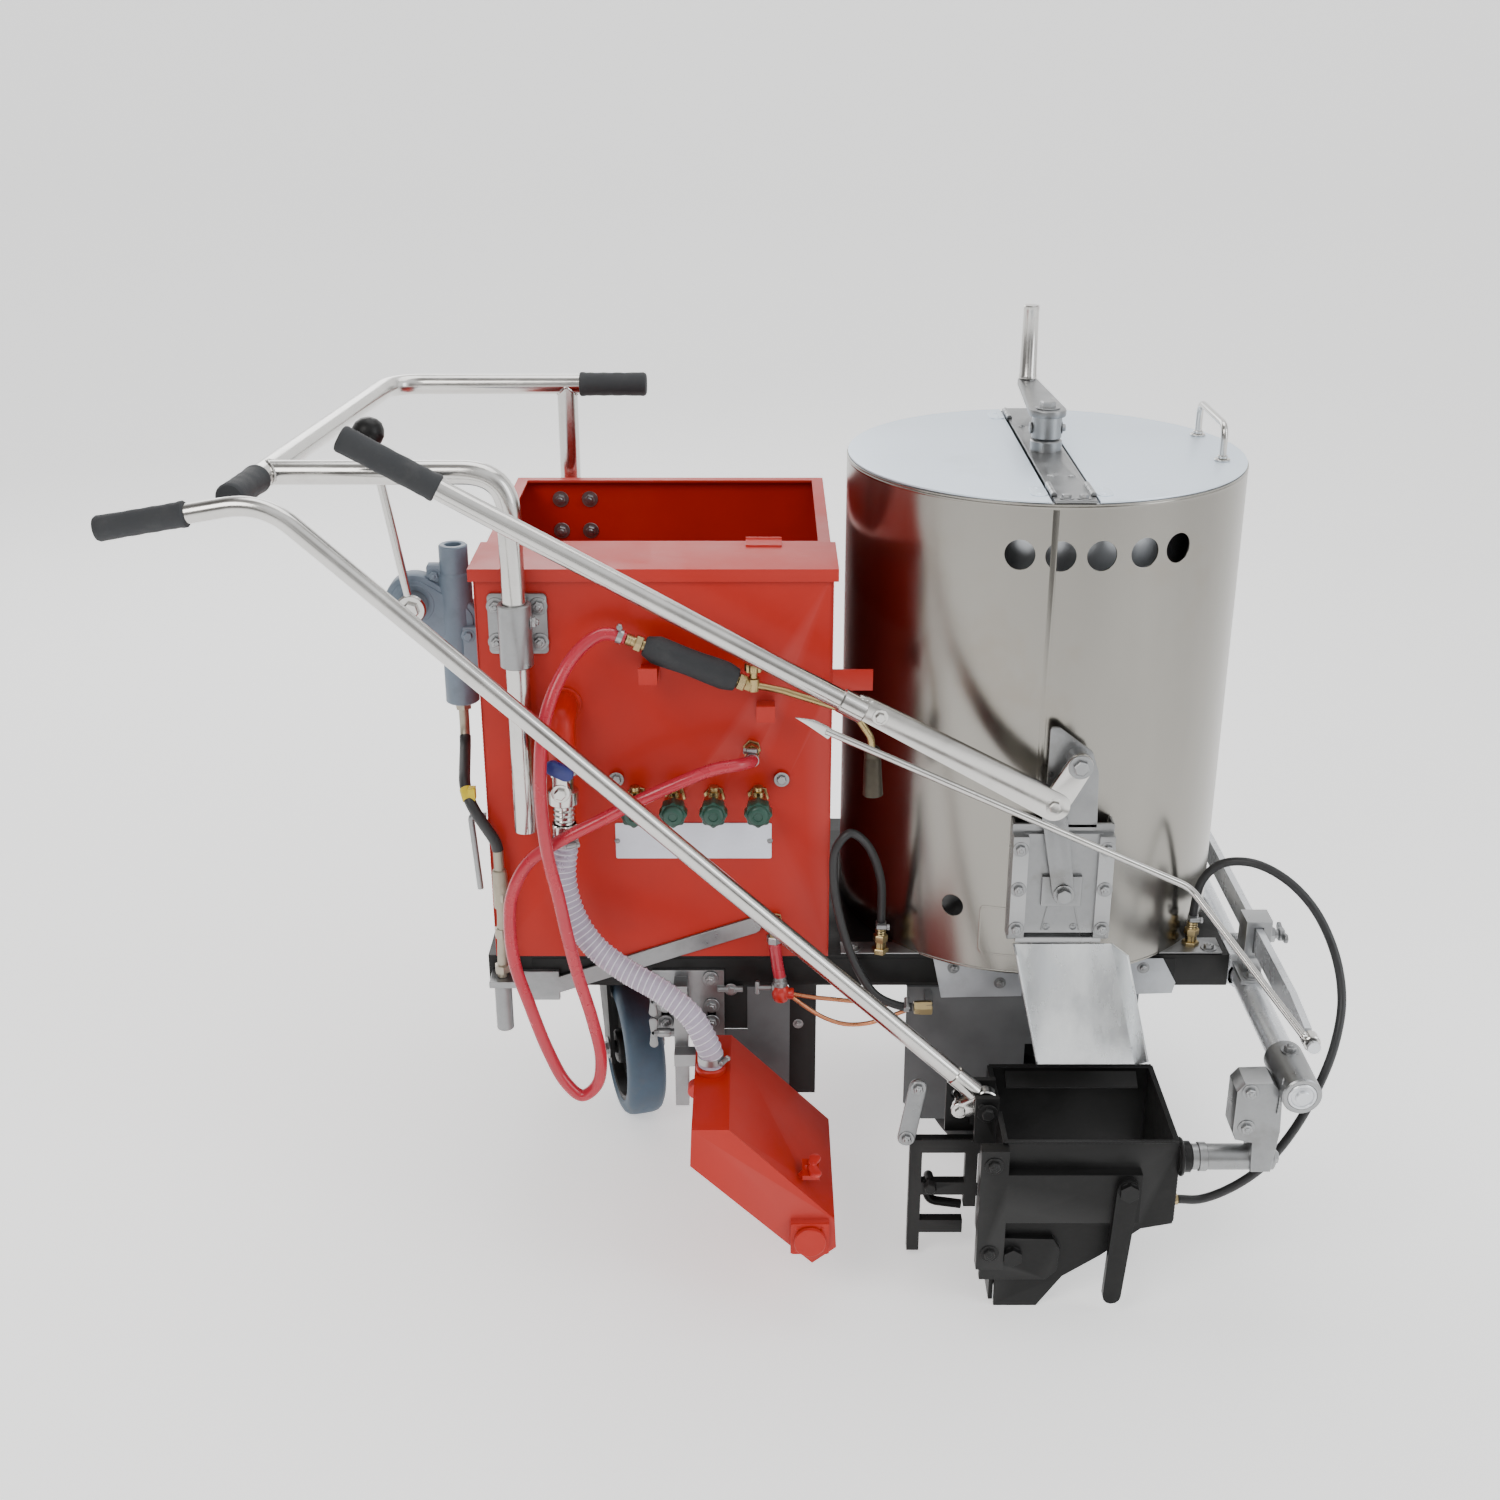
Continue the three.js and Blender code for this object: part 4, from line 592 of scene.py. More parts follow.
hose("torch_hose", TORCH_ROUTE, 7.0, "red_hose")
hose("shoe_hose_rear", REAR_ROUTE, 5.0, "black_hose")
hose("shoe_hose_front", FRONT_ROUTE, 5.0, "black_hose")
hose("bead_hose", BEAD_ROUTE, 14.0, "clear_hose", ribs=(7.0, 1.1))


# ---- CAD nodes that stay on show ---------------------------------------------------------
def dress(name, surface, edge):
    """A CAD node with its flat faces merged, its edges broken and its look laid on."""
    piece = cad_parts[name]
    mesh = piece.data
    mesh.materials.clear()
    mesh.materials.append(LOOKS[surface][1])
    if "custom_normal" in mesh.attributes:
        mesh.attributes.remove(mesh.attributes["custom_normal"])
    for face in mesh.polygons:
        face.use_smooth = True
    weld = piece.modifiers.new("weld", "WELD")
    weld.merge_threshold = 0.00002
    flat = piece.modifiers.new("flat", "DECIMATE")
    flat.decimate_type = "DISSOLVE"
    flat.angle_limit = math.radians(0.6)
    bevel = piece.modifiers.new("edges", "BEVEL")
    bevel.width = edge / 1000
    bevel.segments = 2
    bevel.limit_method = "ANGLE"
    bevel.angle_limit = math.radians(34)
    bevel.harden_normals = True


for surface, parts in {
    "black": (("chassis_frame", 2.0), ("caster_fork", 1.2), ("burner_ring", 0.8), ("shoe_box", 1.2),
              ("shoe_gate", 0.8)),
    "red": (("bead_box", 0.9), ("hopper_lid", 1.3), ("dispenser_box", 0.9)),
    "zinc": (("front_axle", 1.0), ("gate_plate", 0.8), ("rear_stay", 0.9),
             ("dispenser_hanger", 0.9)),
    "sheet": (("kettle_pot", 1.0), ("stirrer", 1.0), ("dispenser_roller", 0.5)),
    "galvanised": (("wheel_guard", 0.8),),
    "brass": (("gas_manifold", 0.6),),
    # the pointer bar takes the tube look with a painted reflection
    "painted_reflection_tube": (("pointer_bar", 1.4),),
}.items():
    for name, edge in parts:
        dress(name, surface, edge)


# ---- wheels ------------------------------------------------------------------------------
def wheel(names, body, centre, axis, radius, half, rim, bore, surfaces, nodes):
    """A wheel as two pieces, its tread and its bolted web."""
    d = Vector(axis).normalized()
    start = Vector(centre)
    shoulder = [
        (-half + 3, rim), (-half, rim + 3), (-half, radius - 15), (-half + 1.2, radius - 9),
        (-half + 3.6, radius - 4.5), (-half + 7.5, radius - 1.6),
        (-half + 13, radius - 0.3), (0, radius),
    ]
    profile = shoulder + [(-along, r) for along, r in reversed(shoulder[:-1])]
    Shape().turned(start, d, profile, 96, loop=True).show(names[0], surfaces[0], nodes[:1], body)
    web = [
        (-half + 1, bore), (-half + 1, bore + 11), (-half + 3, bore + 13), (-7, bore + 15),
        (-5, bore + 20), (-5, rim - 12), (-8, rim - 8), (-half + 4, rim - 6),
        (-half + 2.4, rim - 4), (-half + 3, rim - 0.6),
    ]
    hub = Shape().turned(start, d, web + [(-along, r) for along, r in reversed(web)], 72, loop=True)
    across = d.orthogonal().normalized()
    other = d.cross(across)
    reach = (bore + 20 + rim - 12) / 2
    for k in range(5):
        a = math.radians(72 * k + 20)
        spot = start + (across * math.cos(a) + other * math.sin(a)) * reach
        for side in (-1, 1):
            hub.bolt(spot + d * side * 4.6, d * side, 4.5, 3.5, 1.2, 1.5)
    hub.show(names[1], surfaces[1], nodes[1:], body)


YAW = math.radians(106)
CASTER_AXIS = (-math.sin(YAW), math.cos(YAW), 0)
CASTER_HUB = (-500 - 45 * math.cos(YAW), 40 - 45 * math.sin(YAW), 90)
wheel(("caster_tread", "caster_web"), "caster_wheel", CASTER_HUB, CASTER_AXIS, 90, 25, 70.3, 8.6,
      ("caster", "black"), ("caster_tyre", "caster_hub"))
for side, y in (("near", -120), ("far", 142)):
    names, body = (f"front_tread_{side}", f"front_web_{side}"), f"front_wheel_{side}"
    wheel(names, body, (0, y, 125), Y, 125, 25, 99, 10.6, ("tyre", "black"), (body,))

swivel = Shape()
for side in (-1, 1):
    end = Vector(CASTER_HUB) + Vector(CASTER_AXIS) * side * 33.5
    swivel.bolt(end, Vector(CASTER_AXIS) * side, 9, 4.5, 1.5)
swivel.show("caster_nuts", "zinc", body="caster_fork")
axle_ends = Shape()
for y, d in ((-158, NY), (180, Y)):
    axle_ends.bolt((0, y + (6 if d == NY else -6), 125), d, 9, 3.5, 1.5)
axle_ends.show("axle_nuts", "zinc")

# ---- kettle ------------------------------------------------------------------------------
KETTLE_R = 225.0


def round_kettle(shape, cuts=150):
    """Bends a flat sheet drawn as (arc length, height, depth) round the kettle's axis."""
    bm = shape.bm
    reach = max(abs(v.co.x) for v in bm.verts)
    for k in range(1, cuts):
        s = -reach + 2 * reach * k / cuts
        geom = bm.verts[:] + bm.edges[:] + bm.faces[:]
        bmesh.ops.bisect_plane(bm, geom=geom, plane_co=(s, 0, 0), plane_no=(1, 0, 0))
    for v in bm.verts:
        a, r = v.co.x / KETTLE_R, KETTLE_R + v.co.z
        v.co = Vector((r * math.sin(a), -r * math.cos(a), v.co.y))
    return shape


half_turn = math.pi * KETTLE_R - 0.2
holes = [circle(math.radians(a) * KETTLE_R, 813, 16, 40) for a in (-14, -3.2, 7.8, 20.1, 31)]
holes.append(circle(math.radians(-28) * KETTLE_R, 394, 13, 36))
holes.append(rect(-28.2, 44.4, 398, 462))
skin = Shape().plate(rect(-half_turn, half_turn, 318.6, 868), "z", -2.4, 0, holes, edge=0.5)
round_kettle(skin).show("kettle_jacket", "kettle", ["kettle_shell"], sharp=40, radial=KETTLE_R)

trim = Shape()
for low, high in ((318.5, 322.5), (862.5, 866.5)):
    hoop = [(low, 224.8), (low + 1, 225.25), (high - 1, 225.25), (high, 224.8)]
    trim.turned((0, 0, 0), Z, hoop, 150, loop=True)
trim.show("kettle_hoops", "kettle")
for name, s in (("kettle_seam_near", -20.0), ("kettle_seam_rear", 520.0)):
    seam = Shape().plate(rect(s - 3.4, s + 3.4, 323, 862), "z", -0.3, 0.12, edge=0.1)
    round_kettle(seam, cuts=8).show(name, "kettle")
hatch = Shape().plate(
    rect(-78, 56, 340, 402, 7), "z", -0.3, 0.25, [rect(-75.5, 53.5, 342.5, 399.5, 6)], edge=0.2
)
round_kettle(hatch, cuts=40).show("kettle_hatch_seam", "kettle")

# Lids, with the fixed strip between them.
LID_HINGES = (-206, 160)  # where each hinge starts along the strip
STRIP_SCREWS = [(x, y) for x in (-11, 11) for y in (-120, 120)]
holes = [circle(0, 0, 16.5, 28), *[circle(x, y, 2.2, 12) for x, y in STRIP_SCREWS]]
strip = Shape().plate(rect(-22, 22, -222.6, 222.6, 1.5), "z", 868.4, 871.8, holes)
socket = [(0, 8.6), (0, 17), (1, 18), (14.2, 18), (15.4, 16.8), (15.4, 9.2), (14.6, 8.6)]
strip.turned((0, 0, 868.5), Z, socket, 40, loop=True)
for y in LID_HINGES:
    for x in (-20.5, 20.5):
        for k in range(3):
            knuckle = y + 15.6 * k
            strip.rod((x, knuckle, 873), (x, knuckle + 14.8, 873), 3.2, edge=0.4, sides=16)
        strip.block(x - 3, x + 3, y, y + 46, 869.5, 873, 0.5)
for x in (-9, 9):
    strip.bolt((x, -214, 871.6), Z, 5, 3.6, 1.2)
for x, y in STRIP_SCREWS:
    strip.screw((x, y, 871.6), Z, 4.4, 2.0)
strip.show("lid_strip", "zinc", ["lid_bridge"])


def lid_outline(side):
    """A half lid: a circle's segment, cut off beside the fixed strip."""
    inner, radius, steps = 24.8, 223.8, 90
    start = math.acos(inner / radius)
    arc = (on_circle(0, 0, radius, -start + 2 * start * k / steps) for k in range(steps + 1))
    return [(side * u, v) for u, v in arc]


for side, word in ((-1, "left"), (1, "right")):
    lid = Shape().plate(lid_outline(side), "z", 868.35, 870.7, edge=0.7)
    for y in LID_HINGES:
        leaf = slot_hole(*sorted((side * 25.2, side * 43)), y + 3, y + 43)
        lid.plate(leaf, "z", 870.4, 871.6, edge=0.4)
        for dy in (12, 34):
            lid.screw((side * 34, y + dy, 871.5), Z, 2.6, 1.2)
    lid.show(f"lid_sheet_{word}", "lid", [f"lid_{word}"], f"lid_{word}")
BAIL_X, BAIL_ENDS = 190, (-47, 76)
legs = [[(BAIL_X, y, z) for z in (871, 910)] for y in BAIL_ENDS]
handle = Shape().tube(rounded(legs[0] + legs[1][::-1], 16), 4.0, 20)
for y in BAIL_ENDS:
    handle.rod((BAIL_X, y, 870.6), (BAIL_X, y, 873.2), 9)
    handle.rod((BAIL_X, y, 873), (BAIL_X, y, 877), 5.6)
handle.show("lid_handle", "tube", body="lid_right")

# Crank.
CRANK_REACH = 168
arm = Shape().plate(capsule((0, 0), (0, CRANK_REACH), 21, 12, 20), "z", 911, 919, edge=1.2)
arm.turned((0, 0, 886), Z, [(0, 8.6), (0, 16), (1, 17), (24.6, 17), (24.6, 8.6)], 40, loop=True)
arm.bolt((0, 0, 919), Z, 9, 6.5, 1.8)
arm.rod((-17, 0, 897), (-19.5, 0, 897), 6.5)
arm.bolt((16.6, 0, 897), X, 4.6, 3.6, 1.0)
arm.rod((0, CRANK_REACH, 918), (0, CRANK_REACH, 1003.6), 5)
arm.bolt((0, CRANK_REACH, 911), NZ, 5.5, 4, 1.0)
arm.bead([(0, 150, 919.4), (6, 158, 919.4)], 1.2)
arm.show("crank_bar", "zinc", ["crank_arm"], "crank")
sleeve = [
    (0, 5.6), (0, 10.2), (1, 11), (4, 11), (5, 10.4), (80, 9.1), (82, 9.5), (86, 9.5), (87.4, 8.4),
    (87.4, 0)
]
grip = Shape().turned((0, CRANK_REACH, 919.5), Z, sleeve, 36)
grip.show("crank_sleeve", "tube", ["crank_grip"], "crank_grip")

# ---- discharge gate ----------------------------------------------------------------------
LEVER_Y = -264
upright = [
    (-14, 0, 510), (-14, 0, 629), (-4, 0, 628), (18, 0, 611), (33, 0, 600), (41, 0, 576),
    (44, 0, 510),
]
housing = Shape().block(-48, 63, -239.9, -236, 373, 515, 0.8)
housing.plate([(p.x, p.z) for p in rounded(upright, 9, 4)], "y", -239.9, -236)
housing.block(-48, -45, -240, -221, 373, 515, 0.6).block(60, 63, -240, -218, 373, 515, 0.6)
for x0, x1, bolt_x in ((-48, -31, -40), (46, 63, 55)):
    housing.block(x0, x1, -252, -239.5, 380, 505, 1.0)
    for z in (392, 441, 490):
        housing.bolt((bolt_x, -252, z), NY, 5.6, 4.2, 1.2, 1.2)
housing.block(-40, 55, -251, -239.5, 374, 381, 0.8)
housing.rod((16, -259.5, 594), (16, -236, 594), 12)
housing.rod((16, -272, 594), (16, -236, 594), 5)
housing.bolt((16, -268.4, 594), NY, 8.6, 5, 1.0)
housing.bolt((16, -240, 560), NY, 5, 3.6, 1.0)
for x in (-47.5, 62.5):
    housing.bead([(x, -238, 376), (x, -238, 512)], 1.3)
housing.show("gate_frame", "zinc", ["gate_housing"])

link = Shape().plate(capsule((9, 438), (-9, 548), 12, 14), "y", -258.5, -254.5,
                     [circle(9, 438, 5.5, 20), circle(-9, 548, 9)], edge=0.7)
link.show("gate_strap", "zinc", ["gate_link"], "gate_link")
rib = Shape()
for x in (-12, 30):
    right, left = (9.8, 9) if x < 9 else (7.6, 6)
    fold = [(x, 388), (x + 1.6, 388), (right, 500), (left, 500)]
    rib.plate(fold, "y", -247.5, -246, edge=0.4)
rib.bolt((9, -259, 438), NY, 7.6, 5, 1.2)
for x, z in ((-6, 392), (24, 392), (9, 492)):
    rib.screw((x, -246.2, z), NY, 4, 2)
rib.show("gate_stiffener", "zinc", body="gate_plate")

knee, end = Vector((-230, LEVER_Y, 664)), Vector((-740, LEVER_Y, 947))
lever_run = end - knee
lever = Shape().plate(capsule((-9, 548), (-216, 661), 17, 13, 16), "y", -268, -260, edge=1.2)
lever.plate(capsule((16, 594), (-9, 548), 14, 15), "y", -267.4, -260.4, [circle(16, 594, 5.5, 20)],
            edge=1.2)
lever.rod(knee - lever_run * 0.02, knee + lever_run * 0.985, 11, edge=1.0, sides=36)
lever.rod(knee - lever_run * 0.03, knee + lever_run * 0.02, 13.4, edge=1.6, sides=36)
lever.rod((-9, -253.6, 548), (-9, -266, 548), 4)
lever.bolt((-9, -267, 548), NY, 6.4, 3.6, 1.2)
lever.bolt((-198, -268, 651), NY, 5.6, 3.6, 1.2)
lever.bolt((-198, -260, 651), Y, 5.6, 3.6, 1.2, 2)
lever.bead([(-222, -268.2, 672), (-206, -268.2, 668)], 1.3)
lever.show("discharge_bar", "tube", ["discharge_lever"], "discharge_lever")


def foam(name, body, start, finish, radius, bore, nodes):
    """A slipped-on sleeve grip: soft lips, a slight waist and a closed far end."""
    start, finish = Vector(start), Vector(finish)
    long = (finish - start).length
    profile = [(0, bore), (0, radius - 1.4), (1.4, radius), (5, radius), (8, radius - 0.7)]
    for k in range(1, 12):
        profile.append((8 + (long - 20) * k / 12, radius - 0.7 + 0.25 * math.sin(k * 1.9)))
    profile += [(long - 9, radius - 0.5), (long - 4, radius - 0.2), (long - 1.2, radius - 1.6),
                (long, radius - 4.5), (long, 0)]
    Shape().turned(start, finish - start, profile, 44).show(name, "grip", nodes, body)


foam("discharge_sleeve", "discharge_lever", knee + lever_run * 0.815, knee + lever_run, 14.5, 11.2,
     ["discharge_grip"])

# ---- chute -------------------------------------------------------------------------------
CHUTE_TOP, CHUTE_FOOT, CHUTE_HALF = Vector((14, -250, 372)), Vector((40, -300, 247)), 56
CHUTE_LIP = (40, -301, 247)
FLARE = 0.48  # how far the right wall leans out for each mm of its depth

run = CHUTE_FOOT - CHUTE_TOP
lean = Matrix.Identity(4)  # leans an upright sheet to the chute's slope
lean[1][2] = run.y / run.z
lean[1][3] = CHUTE_TOP.y - CHUTE_TOP.z * run.y / run.z
flare = Matrix.Identity(4)
flare[0][1] = -FLARE
chute = Shape()
for left, right, y0, bend in (
    (-CHUTE_HALF, CHUTE_HALF, 0, Matrix.Identity(4)),
    (-CHUTE_HALF, 2 - CHUTE_HALF, -26, Matrix.Identity(4)),
    (CHUTE_HALF - 2, CHUTE_HALF, -26, flare),
):
    sheet = [(CHUTE_TOP.x + left, CHUTE_TOP.z), (CHUTE_TOP.x + right, CHUTE_TOP.z),
             (CHUTE_FOOT.x + right, CHUTE_FOOT.z), (CHUTE_FOOT.x + left, CHUTE_FOOT.z)]
    chute.plate(sheet, "y", y0, 2, edge=0.5, matrix=lean @ bend @ PLANES["y"])
everything = chute.bm.verts[:] + chute.bm.edges[:] + chute.bm.faces[:]
trimmed = bmesh.ops.bisect_plane(
    chute.bm, geom=everything, plane_co=CHUTE_LIP, plane_no=(0, -26, -30), clear_outer=True
)
cut_edges = [part for part in trimmed["geom_cut"] if isinstance(part, bmesh.types.BMEdge)]
bmesh.ops.holes_fill(chute.bm, edges=cut_edges)
for inset in (7 - CHUTE_HALF, CHUTE_HALF - 7):
    chute.screw((CHUTE_FOOT.x + inset, -292.4, 262), NY, 3, 1.6)
chute.show("chute_trough", "chute", ["chute"])

# ---- cabinet -----------------------------------------------------------------------------
BOX_NEAR = -181.0
fixings = Shape()
for x in (-577, -540):
    for z in (716, 757):
        fixings.bolt((x, 216, z), NY, 6.6, 4.4, 1.8, 2.5)
for x in (-484, -300):
    fixings.bolt((x, BOX_NEAR - 4.5, 544), NY, 5.6, 3.6, 0.8)
for x in (-485, -313):
    fixings.screw((x, BOX_NEAR - 1.2, 467), NY, 3.2, 1.6)
fixings.show("cabinet_bolts", "zinc")
label = Shape().plate(rect(-487, -311, 445, 489, 2), "y", BOX_NEAR - 1.3, BOX_NEAR - 0.2, edge=0.3)
label.show("label_blank", "label")
hinge = Shape()
for k in range(3):
    hinge.rod((-339 + 13 * k, -76, 788.3), (-327.5 + 13 * k, -76, 788.3), 3.0, edge=0.4, sides=18)
hinge.show("hopper_hinge", "red", body="hopper_lid")
welds = Shape()
for x in (-629.2, -245.8):
    welds.bead([(x, -181.6, 326), (x, -181.6, 776)], 1.0)
for x, z in ((-447, 661), (-322, 618)):
    welds.bead([(x, -181.8, z), (x + 8, -181.8, z)], 1.2)
welds.show("cabinet_welds", "red")

storage = rounded([(-630.5, -188, 501), (-648, -188, 503), (-642, -188, 410)], 9)
hook = Shape().tube(storage, 3.6, 14).bead([(-632, -188, 498), (-632, -188, 505)], 2)
hook.show("storage_hook", "zinc")

OUTLET, SPOUT = (-538, -230), (-379, -300)  # the bead hose's two ends, seen from above
OUTLET_X = OUTLET[0]
bend = rounded([(OUTLET_X, -181.6, 633), (*OUTLET, 630), (*OUTLET, 600)], 26)
elbow = Shape().tube(bend, 15, 32)
elbow.turned((*OUTLET, 581.2), Z, [(0, 10), (0, 13.4), (0.8, 14), (20, 14.4), (26, 15)])
elbow.turned((OUTLET_X, -181.4, 633), NY, [(0, 19), (2.2, 19), (3, 18.2), (3, 14)])
elbow.show("bead_elbow", "red", ["bead_outlet"])

cock = Shape()
cock.turned(
    (*OUTLET, 500), Z,
    [(0, 13), (0.6, 14), (11, 14), (12, 13), (12, 11), (36, 11), (36, 15.6), (37, 16.6), (51, 16.6),
     (52, 15.6), (52, 12), (70, 12), (80.6, 12), (80.6, 0)], 36,
)
cock.turned((*OUTLET, 570), Z, [(0, 15.4), (0.6, 16), (9.6, 16), (10.4, 15.2)], 6)
cock.turned((*OUTLET, 500), Z, [(0, 14.4), (0.6, 15), (11, 15), (12, 14)], 6)
for z in (517, 523, 529):
    cock.turned((*OUTLET, z), Z, [(-1.6, 11), (0, 12.4), (1.6, 11)])
cock.rod((OUTLET_X, -254, 559), (OUTLET_X, -240, 559), 5)
cock.turned((OUTLET_X, -247, 559), Y, [(0, 9), (8, 9.4), (9, 9)], 24)
cock.show("bead_cock", "tube", ["outlet_valve"])
blade = Shape().plate(capsule((OUTLET_X, 559), (OUTLET_X, 582), 8.4, 7), "y", -257.6, -254.4)
blade.bolt((OUTLET_X, -257.4, 559), NY, 6.6, 4.4, 1.2)
blade.show("bead_cock_strap", "tube", ["outlet_handle"], "outlet_handle")
dip = Shape().plate(capsule((-545, 588.4), (-531.5, 581.6), 8.6, 8.6), "y", -260.4, -252.4,
                    edge=2.6)
dip.show("bead_cock_handle", "blue", body="outlet_handle")

# ---- gas controls ------------------------------------------------------------------------
KNOB_X, KNOB_Z = (-462, -419, -375, -326), 523
crown = [(0, 12.4), (2.6, 12), (4.6, 10.6), (5.4, 8.8), (5.4, 5.2), (4.4, 4.6), (4.4, 0)]
for number, x in enumerate(KNOB_X, 1):
    lobes = lobed(x, KNOB_Z, 14.4, 1.1, 8, 96, lowest=-0.6)
    cap = Shape().plate(lobes, "y", -236, -219.4, edge=1.6)
    cap.turned((x, -235.6, KNOB_Z), NY, crown, 36)
    cap.show(f"valve_knob_{number}", "knob", [f"gas_knob_{number}"], f"gas_knob_{number}")
thread = [
    (0, 6.4), (8, 6.4), (8, 5), (9, 5), (10, 5.6), (11, 5), (12, 5.6), (13, 5), (14, 5.4),
    (14.6, 3.6), (14.6, 0)
]
stems = Shape()
for x in KNOB_X:
    stems.turned((x, -181.2, KNOB_Z), NY, [(0, 12.5), (2, 12.5), (2.6, 11.8), (2.6, 7)], 6)
    stems.turned((x, -193, KNOB_Z), NY, [(0, 10.6), (1, 11.2), (19, 11.2), (20.5, 10.2)], 6)
    stems.turned((x, -204, KNOB_Z + 7), Z, thread, 24)
barbs = [(0, 5.4), (3, 6.4), (3, 5.4), (6, 6.4), (6, 5.4), (9, 6.2), (10, 5)]
for x, z in ((-333, 580), (-308, 366)):
    stems.turned((x, -181.2, z), NY, [(0, 10.4), (2, 10.4), (2.6, 9.6), (2.6, 6)], 6)
    stems.turned((x, -187, z), NY, [(0, 8.2), (0.8, 8.9), (7, 8.9), (8, 8.2)], 6)
    stems.turned((x, -195, z), NY, barbs, 24)
stems.show("gas_fittings", "brass")


def hose_clamp(shape, at, heading, radius, screw, width=6.0):
    """A worm-drive band with its screw housing on the side that screw points to."""
    d = Vector(heading).normalized()
    at = Vector(at)
    band = [(0, radius), (0, radius + 0.9), (width, radius + 0.9), (width, radius)]
    shape.turned(at - d * width / 2, d, band, 36, loop=True)
    side = Vector(screw).normalized()
    across = d.cross(side)
    spot = at + side * (radius + 3.2)
    shape.rod(spot - across * 6, spot + across * 6, 3.0, edge=0.6, sides=14)
    shape.rod(spot + across * 6, spot + across * 9.5, 3.6, edge=0.5, sides=6)


bands = Shape()
hose_clamp(bands, (-333, -214, 580), NY, 7.1, Z)
hose_clamp(bands, (-473, -212.3, 721.4), (1, 0, -0.4), 7.1, (0, 0.2, 1))
hose_clamp(bands, (*OUTLET, 491), Z, 13.6, (0.5, -1, 0), 8)
hose_clamp(bands, (*SPOUT, 256), Z, 13.6, (1, -0.6, 0), 8)
bands.show("hose_bands", "zinc")

# The bead hose's wire winds round it once for each rib.
WIRE_STEPS, WIRE_START, WIRE_RADIUS = 1400, 40, 13.35
RIB_PITCH, BEAD_LENGTH = 7.0, 335.8
spiral = []
line = even(flowing(BEAD_ROUTE), WIRE_STEPS)
u = None
for k, here in enumerate(line[WIRE_START:-30]):
    t = (line[WIRE_START + k + 1] - line[WIRE_START + k - 1]).normalized()
    u = t.orthogonal() if u is None else (u - t * u.dot(t))
    u.normalize()
    a = 2 * math.pi * k * BEAD_LENGTH / WIRE_STEPS / RIB_PITCH
    spiral.append(here + (u * math.cos(a) + t.cross(u) * math.sin(a)) * WIRE_RADIUS)
coil = Shape().tube(spiral, 0.75, 6)
coil.show("bead_hose_wire", "coil")
filling = Shape().tube(flowing(BEAD_ROUTE[1:-1]), 8.6, 14)
filling.show("bead_hose_filling", "beads")

# ---- torch -------------------------------------------------------------------------------
TORCH_Y = -212
REAR, FORE = Vector((-447, TORCH_Y, 711)), Vector((-349, TORCH_Y, 672))
torch_run = FORE - REAR
sleeve = [(0, 6.6), (0, 9.6), (1.5, 11), (12, 15), (15, 15.5)]
long = torch_run.length
for k in range(1, 10):
    sleeve.append((15 + (long - 32) * k / 10, 15.5 - 1.1 * math.sin(math.pi * k / 10) ** 2))
sleeve += [(long - 15, 15.5), (long - 12, 15.2), (long - 1, 12.6), (long, 11.4), (long, 6.6)]
Shape().turned(REAR, torch_run, sleeve, 40, loop=True).show("torch_sleeve", "grip", ["torch_grip"])
d = torch_run.normalized()
brass = Shape().rod(REAR - torch_run * 0.2, REAR + torch_run * 1.12, 5.8, edge=0.6)
for share in (-0.19, -0.165, -0.14):
    brass.turned(REAR + torch_run * share, d, [(0, 5.6), (0, 6.8), (2.4, 6)], 28)
brass.turned(REAR - torch_run * 0.1, d, [(0, 8.2), (0.8, 9), (7, 9), (8, 8.2)], 6)
nozzle_nut = [(0, 8.6), (1, 9.4), (8, 9.4), (9, 8.6), (9, 7.4), (15, 7.4), (16, 6)]
brass.turned(REAR + torch_run * 1.01, d, nozzle_nut, 6)
brass.turned((-331, TORCH_Y, 660), Z, [(0, 6), (6, 6.6), (14, 6.6), (15, 4.4), (21, 4.4)], 28)
brass.plate(lobed(-331, TORCH_Y, 9.0, 0.7, 10, 80), "z", 682, 691, edge=1.0)
bends = [(x, TORCH_Y, z) for x, z in ((-300, 660), (-222, 634), (-204, 606), (-201, 580))]
brass.tube(rounded([REAR + torch_run * 1.1, *bends], 20), 4.0)
cup = [(0, 4.2), (0, 7), (3, 9), (10, 9.2), (12, 8.4), (14, 9.4), (53, 11), (56, 11.2), (56, 9.8),
       (30, 8.6), (16, 4)]
brass.show("torch_brass", "brass", ["torch_tube"])
Shape().turned((-202, TORCH_Y, 594), (2, 0, -56), cup, 36).show("torch_cup", "burnt")

# ---- handlebar ---------------------------------------------------------------------------
BAR_R, BAR_Z = 12.7, 897
near_rail = rounded([(-584, -206, 492), (-584, -206, BAR_Z), (-828, -206, BAR_Z)], 46, 12)
far_rail = rounded([(-841, -306, BAR_Z), (-787, 245, BAR_Z), (-471, 245, BAR_Z)], 48, 12)
bar = Shape().tube(near_rail, BAR_R, 32).tube(far_rail, BAR_R, 32)
bar.rod((-566, 245, 620), (-566, 245, 896), BAR_R, sides=32)


def saddle_weld(shape, centre, heading, radius, other):
    """A weld round a tube that meets another tube's side."""
    d = Vector(heading).normalized()
    u = d.orthogonal().normalized()
    v = d.cross(u)
    other = Vector(other).normalized()
    points = []
    for k in range(61):
        a = 2 * math.pi * k / 60
        spot = u * math.cos(a) * radius + v * math.sin(a) * radius
        across = (spot - other * spot.dot(other)).length
        dip = math.sqrt(max(0.0, radius * radius - across * across * 0.98))
        points.append(Vector(centre) - d * (dip - 0.2) + spot)
    radii = [1.5 * (0.8 + 0.2 * math.sin(k * 2.3)) for k in range(61)]
    shape.tube(points, radii, 8)


